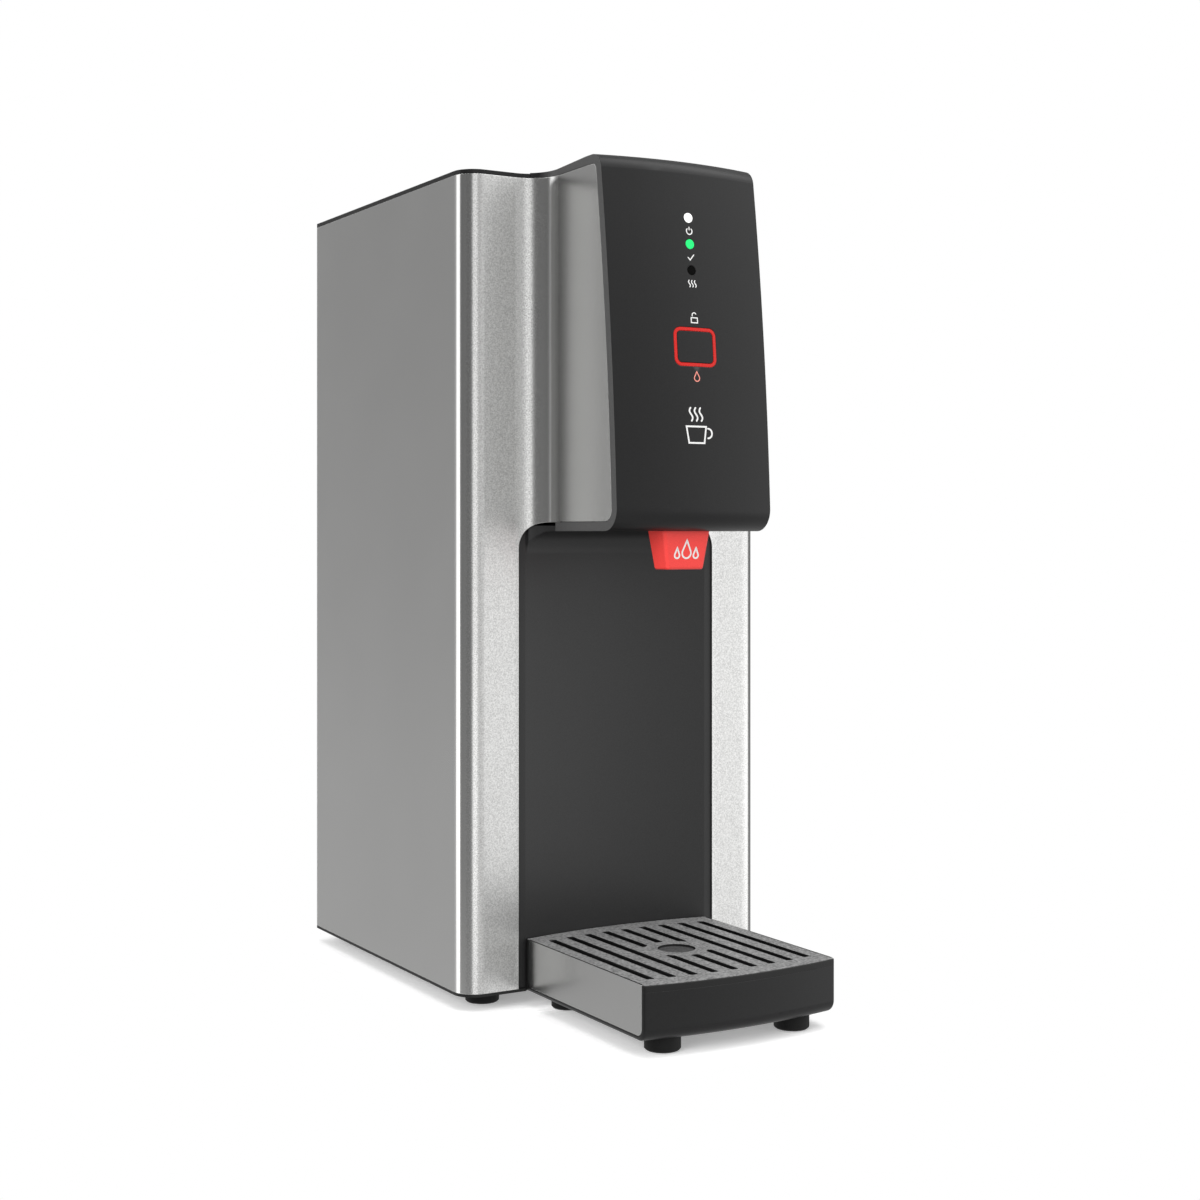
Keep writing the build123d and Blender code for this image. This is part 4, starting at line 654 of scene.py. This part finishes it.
button_level = middle("button_ring").z
unlock_level = button_level + UNLOCK_RISE * MM
print_sign("unlock_sign", head_face, unlock_mark, unlock_level, white_ink)
drop_level = button_level - DROP_FALL * MM
print_sign("dispense_sign", head_face, dispense_mark, drop_level, rose_ink)
cup_level = button_level - CUP_FALL * MM
print_sign("cup_sign", head_face, cup_outline + cup_steam, cup_level, white_ink)

nozzle_face = Face("nozzle_shroud")
nozzle_level = (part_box("nozzle_shroud")[0].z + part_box("head_front_cover")[0].z) / 2
print_sign("nozzle_sign", nozzle_face, nozzle_mark, nozzle_level, white_ink)


# Studio

FLOOR_MARGIN = 0.022
FLOOR_GLOW = 0.3
FLOOR_COLOR = (0.95, 0.95, 0.95)
# The tray's floor lies a little lower, so that it stays clear of the cabinet's where they overlap
CABINET_FLOOR = 0.0
TRAY_FLOOR = -0.5 * MM

# Brightness of the studio round the object, by the angle in degrees from the front towards the left
STUDIO_BANDS = (
    (-180, 0.9),
    (-165, 0.5),
    (-150, 0.2),
    (-92, 0.25),
    (-82, 1.42),
    (-36, 1.42),
    (-27, 1.12),
    (-12, 0.72),
    (-2, 0.7),
    (6, 0.75),
    (13, 1.17),
    (31, 1.17),
    (37, 0.45),
    (44, 0.22),
    (70, 0.21),
    (95, 0.16),
    (103, 0.25),
    (108, 1.38),
    (127, 1.38),
    (135, 0.38),
    (149, 0.4),
    (160, 0.31),
    (173, 0.9),
    (180, 0.9),
)
# What the bands are multiplied by, from straight down at -1 to straight up at 1
STUDIO_LEVELS = (
    (-1.0, 0.95),
    (-0.3, 0.95),
    (-0.15, 1.25),
    (-0.04, 1.04),
    (0.16, 0.88),
    (0.45, 1.0),
    (0.65, 2.6),
    (1.0, 2.6),
)
FILL_LIGHT = 0.62
PLAIN_WHITE = 1.0
# Floor seen in the metal: its brightness, and the levels between which the bands give way to it
FLOOR_SEEN = 0.75
FLOOR_SEEN_FROM = -0.18
FLOOR_SEEN_BELOW = -0.45


def floor_finish(name, center, half):
    """White that glows a little and fades out with the distance from a footprint."""
    material, tree, shader = new_finish(name)
    shader.inputs["Base Color"].default_value = opaque(FLOOR_COLOR)
    shader.inputs["Roughness"].default_value = 0.8
    shader.inputs["Specular IOR Level"].default_value = 0.1
    shader.inputs["Emission Color"].default_value = opaque(WHITE)
    shader.inputs["Emission Strength"].default_value = FLOOR_GLOW
    from_center = vector_step(tree, "SUBTRACT", place(tree), (center.x, center.y, 0.0))
    to_side = vector_step(tree, "ABSOLUTE", from_center)
    past_side = vector_step(tree, "SUBTRACT", to_side, (half.x, half.y, 0.0))
    outside = vector_step(tree, "MAXIMUM", past_side)
    distance = vector_step(tree, "LENGTH", outside, output="Value")
    fade = spread(tree, distance, start=0.0, end=FLOOR_MARGIN, low=1.0, high=0.0, course="SMOOTHSTEP")
    tree.links.new(fade, shader.inputs["Alpha"])
    return material


def studio_floor(name, node, level):
    """White floor that keeps the shadow close to a node and fades away into the white background."""
    low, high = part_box(node)
    center = (low + high) / 2
    half = (high - low) / 2
    mesh = bmesh.new()
    bmesh.ops.create_grid(mesh, x_segments=1, y_segments=1, size=1.0)
    bmesh.ops.scale(mesh, vec=(half.x + FLOOR_MARGIN, half.y + FLOOR_MARGIN, 1.0), verts=mesh.verts)
    bmesh.ops.translate(mesh, vec=(center.x, center.y, level), verts=mesh.verts)
    floor = add_object(name, mesh, floor_finish(name, center, half))
    floor.visible_glossy = False


def background(tree, color, strength):
    """Background of a colour and a strength."""
    node = tree.nodes.new("ShaderNodeBackground")
    feed(tree, node.inputs["Color"], color)
    feed(tree, node.inputs["Strength"], strength)
    return node.outputs["Background"]


def mixed(tree, factor, first, second):
    """Background that runs from a first to a second one with a factor."""
    node = tree.nodes.new("ShaderNodeMixShader")
    for socket, value in zip(node.inputs, (factor, first, second)):
        tree.links.new(value, socket)
    return node.outputs["Shader"]


def steps_of_light(tree, factor, stops):
    """Brightness that runs through a list of (position, brightness)."""
    ramp = tree.nodes.new("ShaderNodeValToRGB")
    elements = ramp.color_ramp.elements
    given = len(elements)
    for index, (position, brightness) in enumerate(stops):
        stop = elements[index] if index < given else elements.new(position)
        stop.position = position
        stop.color = (brightness, brightness, brightness, 1)
    tree.links.new(factor, ramp.inputs["Fac"])
    return ramp.outputs["Color"]


def mirrored_studio(tree):
    """Upright light and dark panels over a pale floor, as the metal reflects them."""
    direction = axes(tree, tree.nodes.new("ShaderNodeTexCoord").outputs["Generated"])
    left = math_step(tree, "MULTIPLY", direction["X"], -1.0)
    front = math_step(tree, "MULTIPLY", direction["Y"], -1.0)
    angle = math_step(tree, "ARCTAN2", left, front)
    turn = spread(tree, angle, start=-math.pi, end=math.pi)
    rise = spread(tree, direction["Z"], start=-1.0, end=1.0)
    bands = [((degrees + 180) / 360, brightness) for degrees, brightness in STUDIO_BANDS]
    levels = [((level + 1) / 2, brightness) for level, brightness in STUDIO_LEVELS]
    panels = background(tree, steps_of_light(tree, turn, bands), steps_of_light(tree, rise, levels))
    sunk = spread(tree, direction["Z"], start=FLOOR_SEEN_FROM, end=FLOOR_SEEN_BELOW)
    return mixed(tree, sunk, panels, background(tree, opaque(WHITE), FLOOR_SEEN))


def studio_world():
    """Even fill light, white to the camera, with the panels for what is seen in the metal."""
    world = bpy.data.worlds.new("studio")
    bpy.context.scene.world = world
    world.use_nodes = True
    tree = world.node_tree
    tree.nodes.clear()
    path = tree.nodes.new("ShaderNodeLightPath").outputs
    mirrored = math_step(tree, "MAXIMUM", path["Is Glossy Ray"], path["Is Transmission Ray"])
    fill = background(tree, opaque(WHITE), FILL_LIGHT)
    lit = mixed(tree, mirrored, fill, mirrored_studio(tree))
    seen = mixed(tree, path["Is Camera Ray"], lit, background(tree, opaque(WHITE), PLAIN_WHITE))
    output = tree.nodes.new("ShaderNodeOutputWorld")
    tree.links.new(seen, output.inputs["Surface"])


def soft_box(name, spot, target, width, height, power):
    """Large soft lamp that faces a point."""
    data = bpy.data.lights.new(name, "AREA")
    data.shape = "RECTANGLE"
    data.size = width
    data.size_y = height
    data.energy = power
    lamp = bpy.data.objects.new(name, data)
    lamp.location = spot
    lamp.rotation_euler = (Vector(target) - Vector(spot)).to_track_quat("-Z", "Y").to_euler()
    lamp.visible_camera = False
    lamp.visible_glossy = False
    bpy.context.scene.collection.objects.link(lamp)


BODY_MIDDLE = (0.0, 0.0, 0.22)
studio_floor("cabinet_floor", "base_plate", CABINET_FLOOR)
studio_floor("tray_floor", "tray_base", TRAY_FLOOR)
studio_world()
soft_box("top_light", spot=(0.2, -0.3, 2.2), target=BODY_MIDDLE, width=1.8, height=1.8, power=24.0)
soft_box("key_light", spot=(1.3, -1.9, 1.0), target=BODY_MIDDLE, width=1.2, height=1.6, power=10.0)
soft_box("left_light", spot=(-2.2, -1.2, 0.9), target=BODY_MIDDLE, width=1.2, height=1.6, power=46.0)


# Camera, fitted to the straight edges of the cabinet

CAMERA_PLACE = (-0.52625, -0.92453, 0.25327)
CAMERA_TURN = math.radians(-30.463)
CAMERA_LEVEL = math.radians(90)
CAMERA_LENS = 55.30
CAMERA_SENSOR = 36.0
CAMERA_SHIFT_UP = -0.0546


def photo_camera():
    """Camera at the photograph's place, level, with its frame shifted."""
    data = bpy.data.cameras.new("camera")
    data.lens = CAMERA_LENS
    data.sensor_width = CAMERA_SENSOR
    data.shift_y = CAMERA_SHIFT_UP
    camera = bpy.data.objects.new("camera", data)
    camera.location = CAMERA_PLACE
    camera.rotation_euler = (CAMERA_LEVEL, 0, CAMERA_TURN)
    bpy.context.scene.collection.objects.link(camera)
    bpy.context.scene.camera = camera


photo_camera()
bpy.context.scene.view_settings.view_transform = "Standard"
